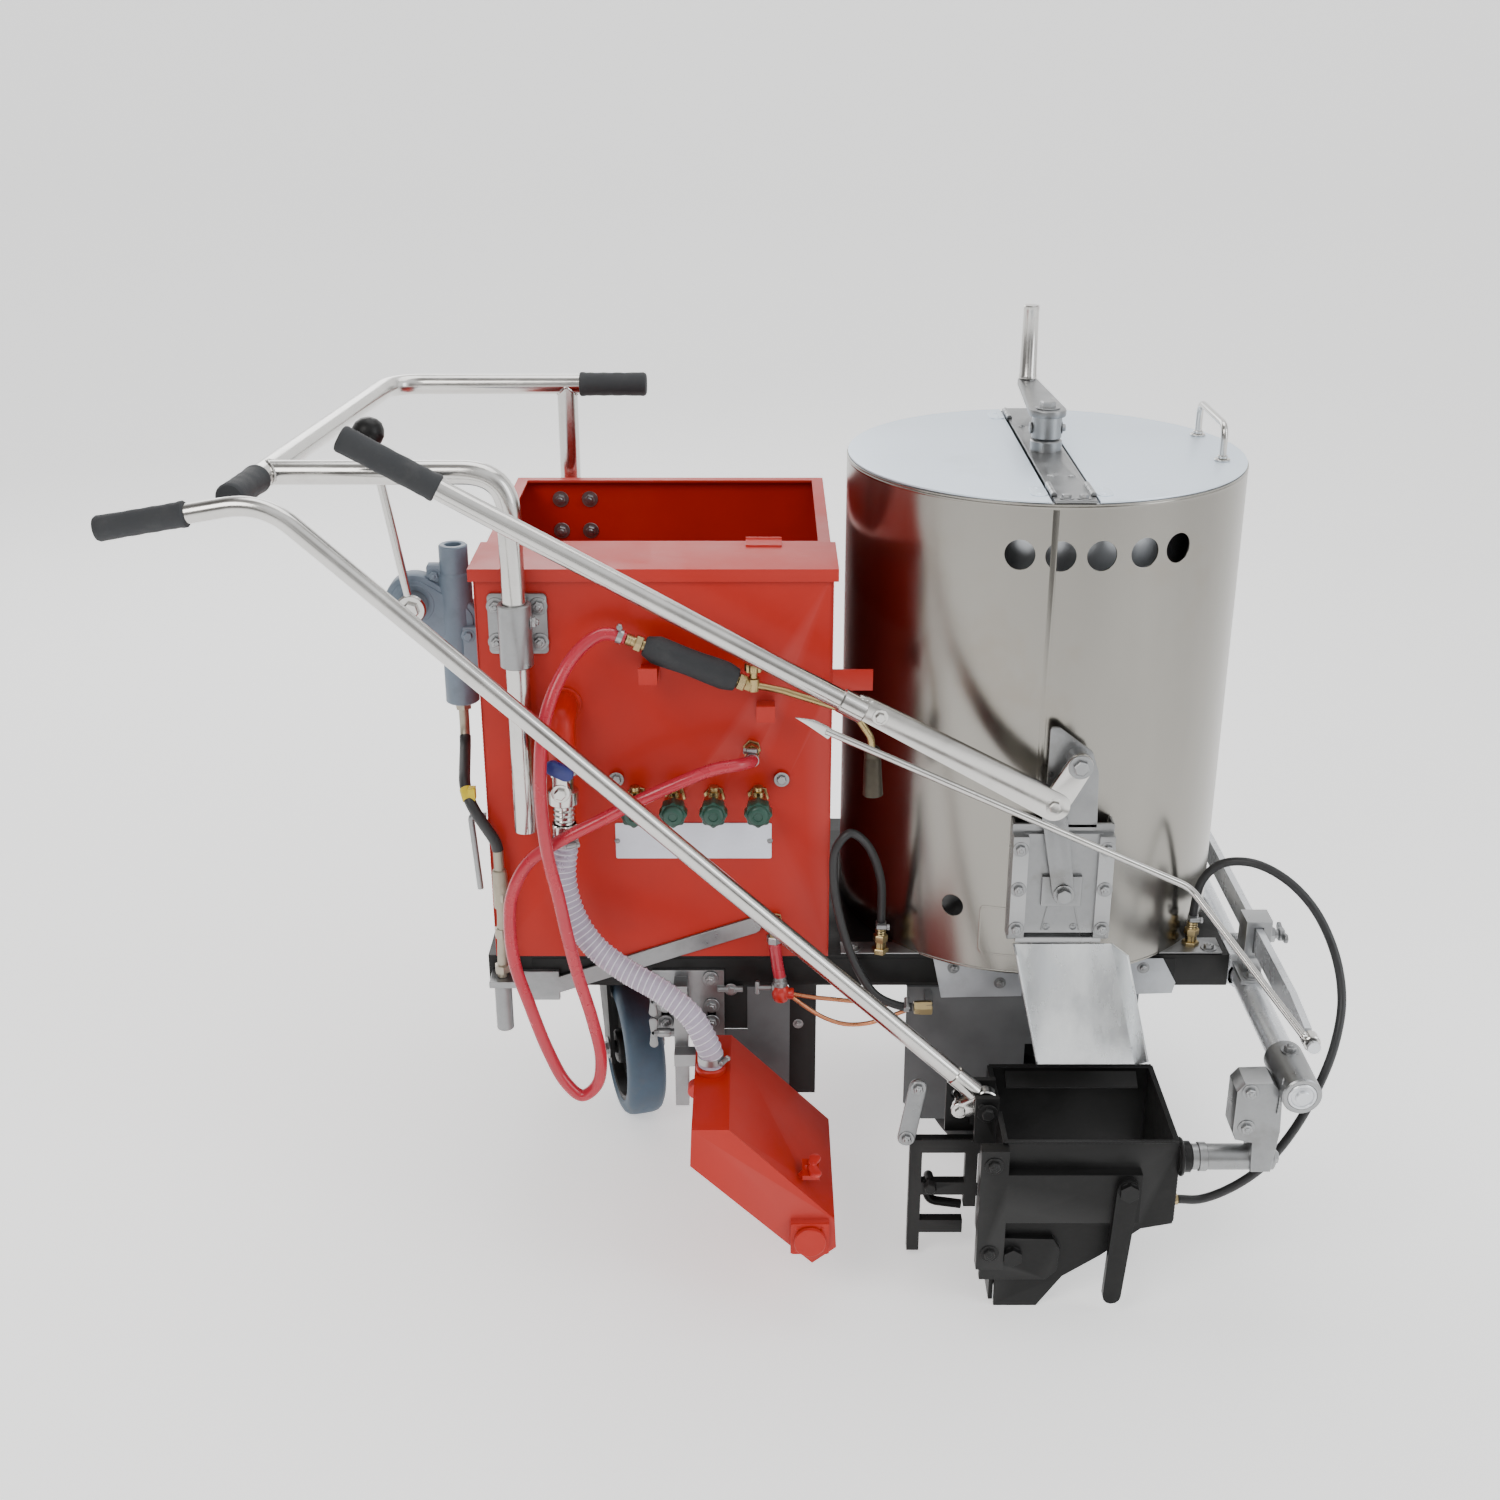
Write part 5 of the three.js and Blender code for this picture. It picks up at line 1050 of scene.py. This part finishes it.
saddle_weld(bar, (-831.2, -206, BAR_Z), NX, 12.9, Y)
saddle_weld(bar, (-566, 245, BAR_Z), Z, 12.9, X)
bar.show("handlebar_tubes", "tube", ["handlebar"], "handlebar")
foam("near_sleeve", "handlebar", (-833.7, -232, BAR_Z), (-841.5, -311, BAR_Z), 15, 13.3,
     ["near_grip"])
foam("far_sleeve", "handlebar", (-550, 245, BAR_Z), (-466, 245, BAR_Z), 15, 13.3, ["far_grip"])

for name, x, y, wall in (("near", -584, -206, -181), ("far", -566, 245, 219)):
    side = -1 if y < wall else 1
    face = wall + side * 0.3
    front = face + side * 4
    sleeve = [(0, 13.5), (0, 16.8), (1.2, 18), (68.8, 18), (70, 16.8), (70, 13.5)]
    clamp = Shape().plate(rect(x - 32, x + 32, 692, 760, 5), "y", *sorted((face, front)), edge=0.9)
    clamp.block(x - 13, x + 13, *sorted((face, y - side * 7)), 702, 750, 1.2)
    clamp.turned((x, y, 686), Z, sleeve, 40, loop=True)
    for dx in (-23, 23):
        for z in (706, 746):
            clamp.bolt((x + dx, front, z), (0, side, 0), 6.4, 4, 1.6, 1.8)
    clamp.bolt((x + 17, y, 735), X, 5.6, 4.4, 1.2, 3)
    for s in (-1, 1):
        clamp.bead([(x + s * 13.4, y - side * 12, 704), (x + s * 13.4, y - side * 12, 748)], 1.4)
    clamp.show(f"clamp_{name}", "zinc", [f"post_clamp_{name}"])

# ---- caster lock control -----------------------------------------------------------------
CX, CY, DISC = -663, -100, (-708, 725)
post = [(0, 17), (1.5, 19), (150, 18.4), (153, 16.8), (154, 16), (183.6, 16), (185, 14.6),
        (185, 9.8), (184, 9), (171, 9), (171, 0)]
casting = Shape().turned((CX, CY, 605), Z, post, 48)
casting.plate(capsule(DISC, (CX, 705), 33, 26, 24), "y", CY - 12, CY + 12, edge=3.5)
casting.plate(capsule(DISC, (CX, 705), 27, 20, 24), "y", CY - 14, CY - 10, edge=1.8)
casting.block(CX - 30, CX - 8, CY - 7, CY + 7, 744, 768, 2.5)
casting.block(CX + 8, -630.3, CY - 20, CY + 20, 640, 700, 2.5)
casting.turned((DISC[0], CY - 10, DISC[1]), NY, [(0, 24), (3, 24), (4.6, 22), (4.6, 18)], 40)
for z in (650, 690):
    casting.bolt((CX + 14, CY - 19.6, z), NY, 5, 3.4, 1.0)
casting.bolt((CX - 22, CY - 6.6, 756), NY, 5.4, 4, 1.2, 2)
casting.rod((DISC[0], CY - 24, DISC[1]), (DISC[0], CY, DISC[1]), 6)
casting.show("control_casting", "casting", ["control_housing"])
PLANE = CY - 30
hub = [(0, 7), (0, 16), (1, 17), (18, 17), (20, 15.4), (20, 0)]
stick = Shape().turned((DISC[0], CY - 15, DISC[1]), NY, hub, 36)
stick.tube([(DISC[0], PLANE, DISC[1]), (-722, PLANE, 813), (-736, PLANE, 902)], 4.8, 16)
stick.bolt((DISC[0], PLANE - 4.6, DISC[1]), NY, 10, 5, 1.2)
stick.show("control_stick", "tube", ["control_lever"], "control_lever")
ball = [(0, 5.4), (1, 8), (7, 8.6), (10, 12), (16, 16), (23, 17.2), (30, 15.8), (35, 11.6), (38, 6),
        (38.6, 0)]
cap = Shape().turned((-737, PLANE, 899), (-0.1, 0, 1), ball, 36)
cap.show("control_ball", "black", ["control_knob"], "control_lever")

cable_route = rounded([(CX, CY, 604), (CX, CY, 560), (-652, -198, 530), (-618, -198, 470),
                       (-618, -198, 380), (-622, -196, 301)], 45, 10)
cable = Shape().tube(cable_route, 5.8, 16)
cable.turned((CX, CY, 604.6), NZ, [(0, 9.5), (8, 9.5), (9, 8.4), (9, 5)], 6)
cable.turned((-618, -198, 390), Z, [(0, 5), (1.5, 8), (8, 8.5), (42, 8.5), (48, 7.6), (50, 5)], 30)
cable.turned((-620, -197, 352), Z, [(0, 5), (1, 8), (12, 8), (13, 5)], 6)
cable.turned((-621.5, -196.3, 306), Z, [(0, 5), (1, 9), (10, 9), (11, 5)], 6)
cable.turned((-617, -198, 400), Z, [(0, 5), (0, 8.6), (2, 9.6), (10, 9.6), (12, 8.6), (12, 5)], 6)
cable.show("control_conduit", "ferrule", ["control_cable"])
wrap = Shape().tube(even(flowing(cable_route[6:32], 3), 60), 6.5, 16)
wrap.show("conduit_sleeve", "black_hose")
spot, ahead = Vector(cable_route[15]), Vector(cable_route[17])
tag = Shape().rod(spot, spot + (ahead - spot).normalized() * 15, 7.4)
tag.block(spot.x + 4, spot.x + 12, spot.y - 14, spot.y - 3, spot.z - 10, spot.z + 5, 0.8)
tag.show("conduit_tag", "yellow")

# ---- shoe --------------------------------------------------------------------------------
RAIL_X, RAIL_Z = 241, 290
TRUNNION_Z = 195
slider = [(0, 15.6), (0, 19.6), (1.4, 21), (76.6, 21), (78, 19.6), (78, 15.6)]
carrier = Shape().turned((RAIL_X, -430, RAIL_Z), Y, slider, 48, loop=True)
bracket_outline = [
    (176, 238), (180, 228), (198, 224), (200, 187), (222, 187), (227, 238), (225, 276),
    (219, 292), (213, 299), (184, 298), (176, 288),
]
carrier.plate(bracket_outline, "y", -418, -384, edge=1.8)
carrier.rod((138.4, -400, TRUNNION_Z), (228, -400, TRUNNION_Z), 14, edge=1.4, sides=40)
carrier.turned((146, -400, TRUNNION_Z), X, [(0, 13.8), (1, 15.6), (9, 15.6), (10, 13.8)], 40)
carrier.bolt((228, -400, TRUNNION_Z), X, 7.4, 4.4, 0.8)
carrier.rod((RAIL_X, -372, RAIL_Z + 17), (RAIL_X, -372, RAIL_Z + 25), 3.6, sides=18)
carrier.bolt((RAIL_X, -372, RAIL_Z + 20.4), Z, 6.4, 5, 0.8, 2)
for z in (288, 244):
    carrier.bolt((190, -418, z), NY, 6, 4, 1.4, 1.6)
carrier.bead([(221, -419, 262), (222.5, -419, 306)], 1.4)
carrier.show("shoe_carrier", "zinc", ["shoe_arm"], "shoe")

fixings = Shape()
for x, y, z in ((70, -427, 170), (-48, -413, 76), (-74, -419, 196), (-74, -419, 82)):
    fixings.bolt((x, y, z), NY, 6.6, 3.6, 1.4, 1.0 if y > -420 else 0.6)
for z in (226, 214):
    fixings.screw((-82, -352.2, z), NY, 3.6, 1.8)
fixings.bolt((-75, -356, 220), NY, 7.2, 4, 1.2)
fixings.bolt((-75, -304, 220), Y, 7.2, 4, 1.2, 1.2)
fixings.rod((126.2, -400, TRUNNION_Z), (130, -400, TRUNNION_Z), 21, edge=1.2, sides=40)
for k in range(4):  # round the trunnion's flange
    a = math.radians(45 + 90 * k)
    fixings.screw((129.6, -400 + 17.6 * math.cos(a), TRUNNION_Z + 17.6 * math.sin(a)), X, 2.6, 1.4)
fixings.show("shoe_fixings", "black", body="shoe")

seams = Shape()
for points in (
    [(-62, -405.4, 216.3), (124, -405.4, 216.3)],
    [(-62, -252.8, 216.3), (124, -252.8, 216.3)],
    [(126.3, -404, 214), (126.3, -404, 114)],
    [(-88.4, -350, 178.5), (-88.4, -346, 178.5)],
    [(-142, -320.6, 161), (-66, -320.6, 161)],
    [(-77.6, -320.6, 86), (-77.6, -320.6, 103)],
):
    seams.bead(points, 1.3)
seams.show("shoe_welds", "black", body="shoe")

# The grey link and the burner pipe on the shoe's ladder frame.
LINK_ENDS = ((-149, 232), (-160, 166))
link_eye = circle(*LINK_ENDS[0], 3.2, 16)
strap = Shape().plate(capsule(*LINK_ENDS, 10, 10), "y", -325, -321, [link_eye], edge=0.9)
for x, z in LINK_ENDS:
    strap.bolt((x, -325, z), NY, 5.8, 3.6, 1.2, 1.2)
strap.rod((-160, -325, 166), (-154, -312, 160), 4)
strap.show("shoe_lift_link", "zinc", body="shoe")
bends = [(-131, -314, 100), (-131, -296, 100), (-131, -296, 62), (-92, -296, 56)]
burner = Shape().tube(rounded(bends, 14), 5.4)
burner.turned((-131, -330, 100), Y, [(0, 6), (1, 7.4), (9, 7.4), (10, 6)], 6)
burner.show("shoe_burner_pipe", "black", body="shoe")

# ---- shoe lever --------------------------------------------------------------------------
PIVOT, BEND = Vector((-75, -330, 220)), Vector((-804, -330, 900))
TIP = Vector((-964.4, -330, 872.5))
along_lever = rounded([PIVOT + (BEND - PIVOT) * 0.022, BEND, TIP], 75, 14)
lever = Shape().tube(along_lever, 10, 30)
lever.rod(PIVOT + (BEND - PIVOT) * 0.016, PIVOT + (BEND - PIVOT) * 0.05, 11.4, edge=1.4, sides=34)
boss = [(0, 5.6), (0, 13.8), (1.2, 15), (12.8, 15), (14, 13.8), (14, 5.6)]
lever.turned((-75, -337, 220), Y, boss, 40, loop=True)
lever.plate(capsule((-75, 220), (-103, 210), 12, 8), "y", -336.6, -323.4,
            [circle(-75, 220, 5.6, 20)], edge=1.2)
lever.rod((-103, -331, 210), (-103, -298.4, 210), 4, sides=20)
lever.bolt((-103, -331, 210), NY, 6.2, 3.6, 5.4)
lever.show("shoe_lever_tube", "tube", ["shoe_lever"], "shoe_lever")
foam("shoe_lever_sleeve", "shoe_lever", (-878, -330, 887.4), (-968.4, -330, 872), 13.2, 10.9,
     ["shoe_lever_grip"])

# ---- front rail and pointer --------------------------------------------------------------
wall = [(6, 11.5), (0.8, 11.6), (0, 12.4), (0, 14.2), (0.8, 15), (615.2, 15), (616, 14.2),
        (616, 12.4), (615, 11.5)]
rail = Shape().turned((RAIL_X, -431, RAIL_Z), Y, wall, 56, loop=True)
rail.turned((RAIL_X, -434, RAIL_Z), Y, [(0, 7), (0.8, 8), (3, 8), (4, 11.6), (9, 11.6), (9, 0)], 36)
ring = [(0, 14.6), (0, 18.4), (1, 19), (35, 19), (36, 18.4), (36, 14.6)]
for y in (-176, 162):
    rail.block(222.4, 237, y, y + 36, 278, 318, 1.2)
    rail.turned((RAIL_X, y, RAIL_Z), Y, ring, 40, loop=True)
    for end in (y, y + 36):
        rail.bead([(222.6, end, 280), (222.6, end, 316)], 1.4)
# the front rail takes the tube look with a painted reflection: a brighter copy of the polished tube
rail.show("front_tube", "painted_reflection_tube", ["front_rail"])

POINTER_X, POINTER_Z, CLAMP_Y = 246, 350, -186
clamp = Shape()
opening = rect(POINTER_X - 4.8, POINTER_X + 4.8, 334.2, 365.8)
clamp.plate(rect(POINTER_X - 15, POINTER_X + 15, 326, 374), "y", CLAMP_Y - 16, CLAMP_Y + 16,
            [opening], edge=1.4)
clamp.block(POINTER_X - 20, POINTER_X + 8, CLAMP_Y - 36, CLAMP_Y + 80, 303, 309, 1.2)
clamp.block(POINTER_X - 14, POINTER_X + 8, CLAMP_Y - 15, CLAMP_Y + 15, 307, 328, 1.2)
for y in (CLAMP_Y - 26, CLAMP_Y + 60):
    clamp.bolt((POINTER_X - 6, y, 309), Z, 6.2, 4.2, 1.6, 2)
clamp.rod((POINTER_X + 14, CLAMP_Y, POINTER_Z), (POINTER_X + 33, CLAMP_Y, POINTER_Z), 5.4, sides=20)
clamp.turned((POINTER_X + 15, CLAMP_Y, POINTER_Z), X, [(0, 9), (1, 9.8), (6, 9.8), (7, 8.8)], 6)
clamp.turned((POINTER_X + 26, CLAMP_Y, POINTER_Z), X, [(0, 6), (1.4, 8), (6, 8), (7.6, 6)], 28)
for side in (-1, 1):
    wing = capsule((CLAMP_Y + side * 4, POINTER_Z), (CLAMP_Y + side * 15, POINTER_Z + 2), 4.6, 5.4)
    clamp.plate(wing, "x", POINTER_X + 29.4, POINTER_X + 33.6, edge=1.4)
clamp.show("pointer_clamp", "zinc")

EYE = Vector((POINTER_X, -417, POINTER_Z))
SWAN_NECK = [(238, -417, 356), (136, -300, 468), (-256, -300, 649)]
needle = Shape().tube(rounded(SWAN_NECK, 30, 10), 4)
eye = [(0, 4.2), (0, 8), (1, 9), (13, 9), (14, 8), (14, 4.2)]
needle.turned(EYE - Vector((0, 7, 0)), Y, eye, 36, loop=True)
needle.rod((242, -417, 353), (236, -417, 358), 4.4, edge=1.0, sides=20)
blade = [(-246, 648), (-256, 655), (-268, 661), (-288, 664), (-276, 656), (-254, 640)]
needle.plate(blade, "y", -301.8, -298.2)
needle.show("pointer_needle", "tube", ["pointer_rod"], "pointer_rod")
cap = Shape().turned((POINTER_X, -431.8, POINTER_Z), Y, [(0, 5.6), (0.8, 7), (4.2, 7), (5, 5.6)], 6)
cap.show("pointer_pivot_nut", "zinc", body="pointer_bar")

# ---- small fittings on the frame ---------------------------------------------------------
DECK_Z = 318
collar = [(0, 6.6), (8, 6.6), (8, 8), (9, 8.6), (16, 8.6), (17, 7.6)]
deck = Shape()
for x, y in ((-184, -171), (181, -155)):
    deck.turned((x, y, DECK_Z), Z, [(0, 9), (0.8, 10), (6, 10), (7, 9)], 6)
    deck.turned((x, y, DECK_Z + 7), Z, collar, 6)
    for barb in range(3):
        deck.turned((x, y, DECK_Z + 24 + 3 * barb), Z, [(0, 6.2), (0.6, 6.4), (2.6, 5.2)], 24)
deck.turned((-147, -212, 268), X, [(0, 5), (1, 7.6), (9, 8.6), (21, 8.6), (22, 7)], 6)
deck.turned((128.6, -344, 98), X, [(0, 8), (0.8, 8.8), (8, 8.8), (9, 6.2), (17, 6.2)], 6)
deck.show("deck_hose_fittings", "brass")
bands = Shape()
hose_clamp(bands, (-184, -172, 356), Z, 5.2, NY)
hose_clamp(bands, (181, -155, 356), Z, 5.2, NY)
hose_clamp(bands, (-155, -211.4, 268.6), X, 5.2, (0, -0.4, 1))
bands.show("shoe_hose_bands", "zinc")

plates = Shape()
plates.block(80, 214, -176, -140, DECK_Z + 0.2, DECK_Z + 2.6, 0.7)
plates.block(-230, -60, -177, -150, DECK_Z + 0.2, DECK_Z + 2.4, 0.7)
for x, y in ((96, -168), (200, -166), (-216, -168), (-78, -168)):
    plates.bolt((x, y, 320.5), Z, 6, 3.8, 1.4, 1.2)
plates.show("deck_plates", "zinc")
under = Shape().plate(rect(-590, 160, 282, 314, 2), "y", -178.6, -178.15, edge=0.15)
under.show("frame_face_coat", "black")

# Gas feed to the shoe's burner: elbow, short hose, tee and two thin tubes.
drop = [(-308, -199, 352), (-307, -200, 340), (-304, -201, 318), (-301, -201, 300)]
feed = Shape().tube(flowing(drop), 7.0, 24)
feed.show("gas_feed_hose", "red_hose")
body = [(0, 5), (2, 8), (6, 9.8), (11, 10.4), (16, 9.8), (20, 8), (22, 6)]
tee = Shape().turned((-300, -201, 270), Z, body)
tee.turned((-300, -201, 280), X, [(0, 6), (8, 6), (9, 6.6), (14, 6.6), (15, 5.6)], 28)
tee.show("gas_tee", "red_cap")
upper = [(-287, -203, 281), (-266, -205, 278), (-236, -206, 275), (-200, -208, 272),
         (-150, -211, 269)]
lower = [
    (-287, -203, 277), (-270, -205, 264), (-248, -206, 250), (-224, -206, 242),
    (-198, -207, 244), (-174, -209, 254), (-150, -211, 266),
]
thin = Shape()
for line in (upper, lower):
    thin.tube(flowing(line), 2.6, 12)
thin.show("gas_copper_tubes", "copper")
nuts = Shape()
nuts.turned((-308, -199, 346), Z, [(0, 8), (0.8, 8.8), (8, 8.8), (9, 8)], 6)
nuts.turned((-301, -201, 291), Z, [(0, 6), (0.8, 8.4), (6, 8.4), (7, 7.4), (12, 7.4), (13, 6)], 28)
nuts.turned((-327, -199, 287), X, [(0, 3.2), (16, 3.2), (17, 6), (22, 6)], 20)
nuts.rod((-327, -199, 279), (-327, -199, 295), 3.0, sides=18)
nuts.show("gas_feed_nuts", "zinc")

# Galvanised sheets hung on the near rail, and the web and panel behind them.
skirts = Shape()
left_skirt = [(-123, 316), (-14, 316), (-18, 266), (-112, 264)]
right_skirt = [(94, 316), (144, 316), (161, 284), (158, 270), (98, 268)]
for outline in (left_skirt, right_skirt):
    skirts.plate(outline, "y", -183.2, -181.6, edge=0.5)
skirts.show("rail_skirts", "skirt")
web = Shape().plate(rect(-452, -330, 219, 279), "y", -177.8, -175.6, edge=0.5)
web.show("rail_web", "black")
outline = [(-339, 276), (-289, 276), (-289, 138), (-376, 138), (-376, 219), (-339, 219)]
panel = Shape().plate(outline, "y", -178.8, -177.9, edge=0.3)
panel.show("rear_panel", "galvanised")
skirt_bolts = Shape()
for x, z in ((-99, 304), (-44, 284), (-30, 306), (122, 304)):
    skirt_bolts.bolt((x, -183.0, z), NY, 4.6, 3.2, 1.2, 0.8)
skirt_bolts.bolt((-279, -178.2, 226), NY, 4, 3.2, 1.0, 0.8)
skirt_bolts.show("skirt_bolts", "zinc")

# ---- dispenser details -------------------------------------------------------------------
roller_cap = Shape().plate(rect(-290.8, -249.2, 84, 124, 3), "y", -423.4, -421.8, edge=0.5)
roller_cap.turned((-270, -424.6, 103), NY, [(0, 17.4), (4.6, 17.4), (5.4, 16.6), (5.4, 0)], 40)
for x in (-284, -256):
    for z in (90, 118):
        roller_cap.screw((x, -423.2, z), NY, 2.6, 1.4)
roller_cap.show("roller_cap", "red")
trim = Shape()
wing = Shape().rod((-282, -388, 157.5), (-264, -388, 175.5), 3.6, sides=18)
wing.turned((-274, -388, 165.5), (1, 0, 1), [(0, 5), (1, 6.6), (5, 6.6), (6, 5)], 28)
for side in (-1, 1):
    leaf = capsule((-267, -388 + side * 4), (-264, -388 + side * 14), 5, 6.4)
    wing.plate(leaf, "z", 172.6, 176.4, edge=1.4)
wing.show("dispenser_wing", "red_cap")
for z in (268, 226):
    trim.turned((-444, -198, z), X, [(0, 4.4), (2, 5.6), (14, 5.6), (16, 4.8)], 20)
    for reach in (15, -15):
        trim.plate(capsule((-448.6, z), (-448.6, z + reach), 3.2, 5), "y", -199.6, -196.6)
trim.bolt((-382, -184, 290), NY, 6, 4, 1.4, 1)
trim.bolt((-358, -184.4, 276), NY, 5, 3.4, 1.2)
for x in (-435, -381):
    for z in (232, 254):
        trim.bolt((x, -183.4, z), NY, 6, 3.8, 1.8, 1.5)
trim.show("dispenser_trim", "zinc")
pivot = Shape().turned((-399, -208, 160), NY, [(0, 9), (1, 10), (14, 10), (15, 8.6), (15, 0)], 30)
pivot.show("dispenser_pivot_cap", "red_cap")
collar = Shape().turned((*SPOUT, 238), Z, [(0, 15.4), (1, 16.4), (7, 16.4), (8.6, 15.2)], 40)
collar.show("dispenser_spout_collar", "red")

# ---- floor and backdrop ------------------------------------------------------------------
PAPER_HALF = 12.0  # half the paper's width, in m
sweep_line = [(-9.0, 0.0), (3.0, 0.0), (4.2, 0.12), (5.2, 0.6), (5.8, 1.5), (6.0, 3.0), (6.0, 9.0)]
points = [(x, y, z) for y, z in sweep_line for x in (-PAPER_HALF, PAPER_HALF)]
faces = [(2 * k, 2 * k + 1, 2 * k + 3, 2 * k + 2) for k in range(len(sweep_line) - 1)]
paper_mesh = bpy.data.meshes.new("floor")
paper_mesh.from_pydata(points, [], faces)
floor = bpy.data.objects.new("floor", paper_mesh)
scene.collection.objects.link(floor)
paper = look("floor_paper", (0.88, 0.88, 0.875), 0.8, spread=0.01, grain=2,
             Emission_Color=(1, 1, 1, 1), Emission_Strength=0.65)
paper_mesh.materials.append(paper)
for face in paper_mesh.polygons:
    face.use_smooth = True
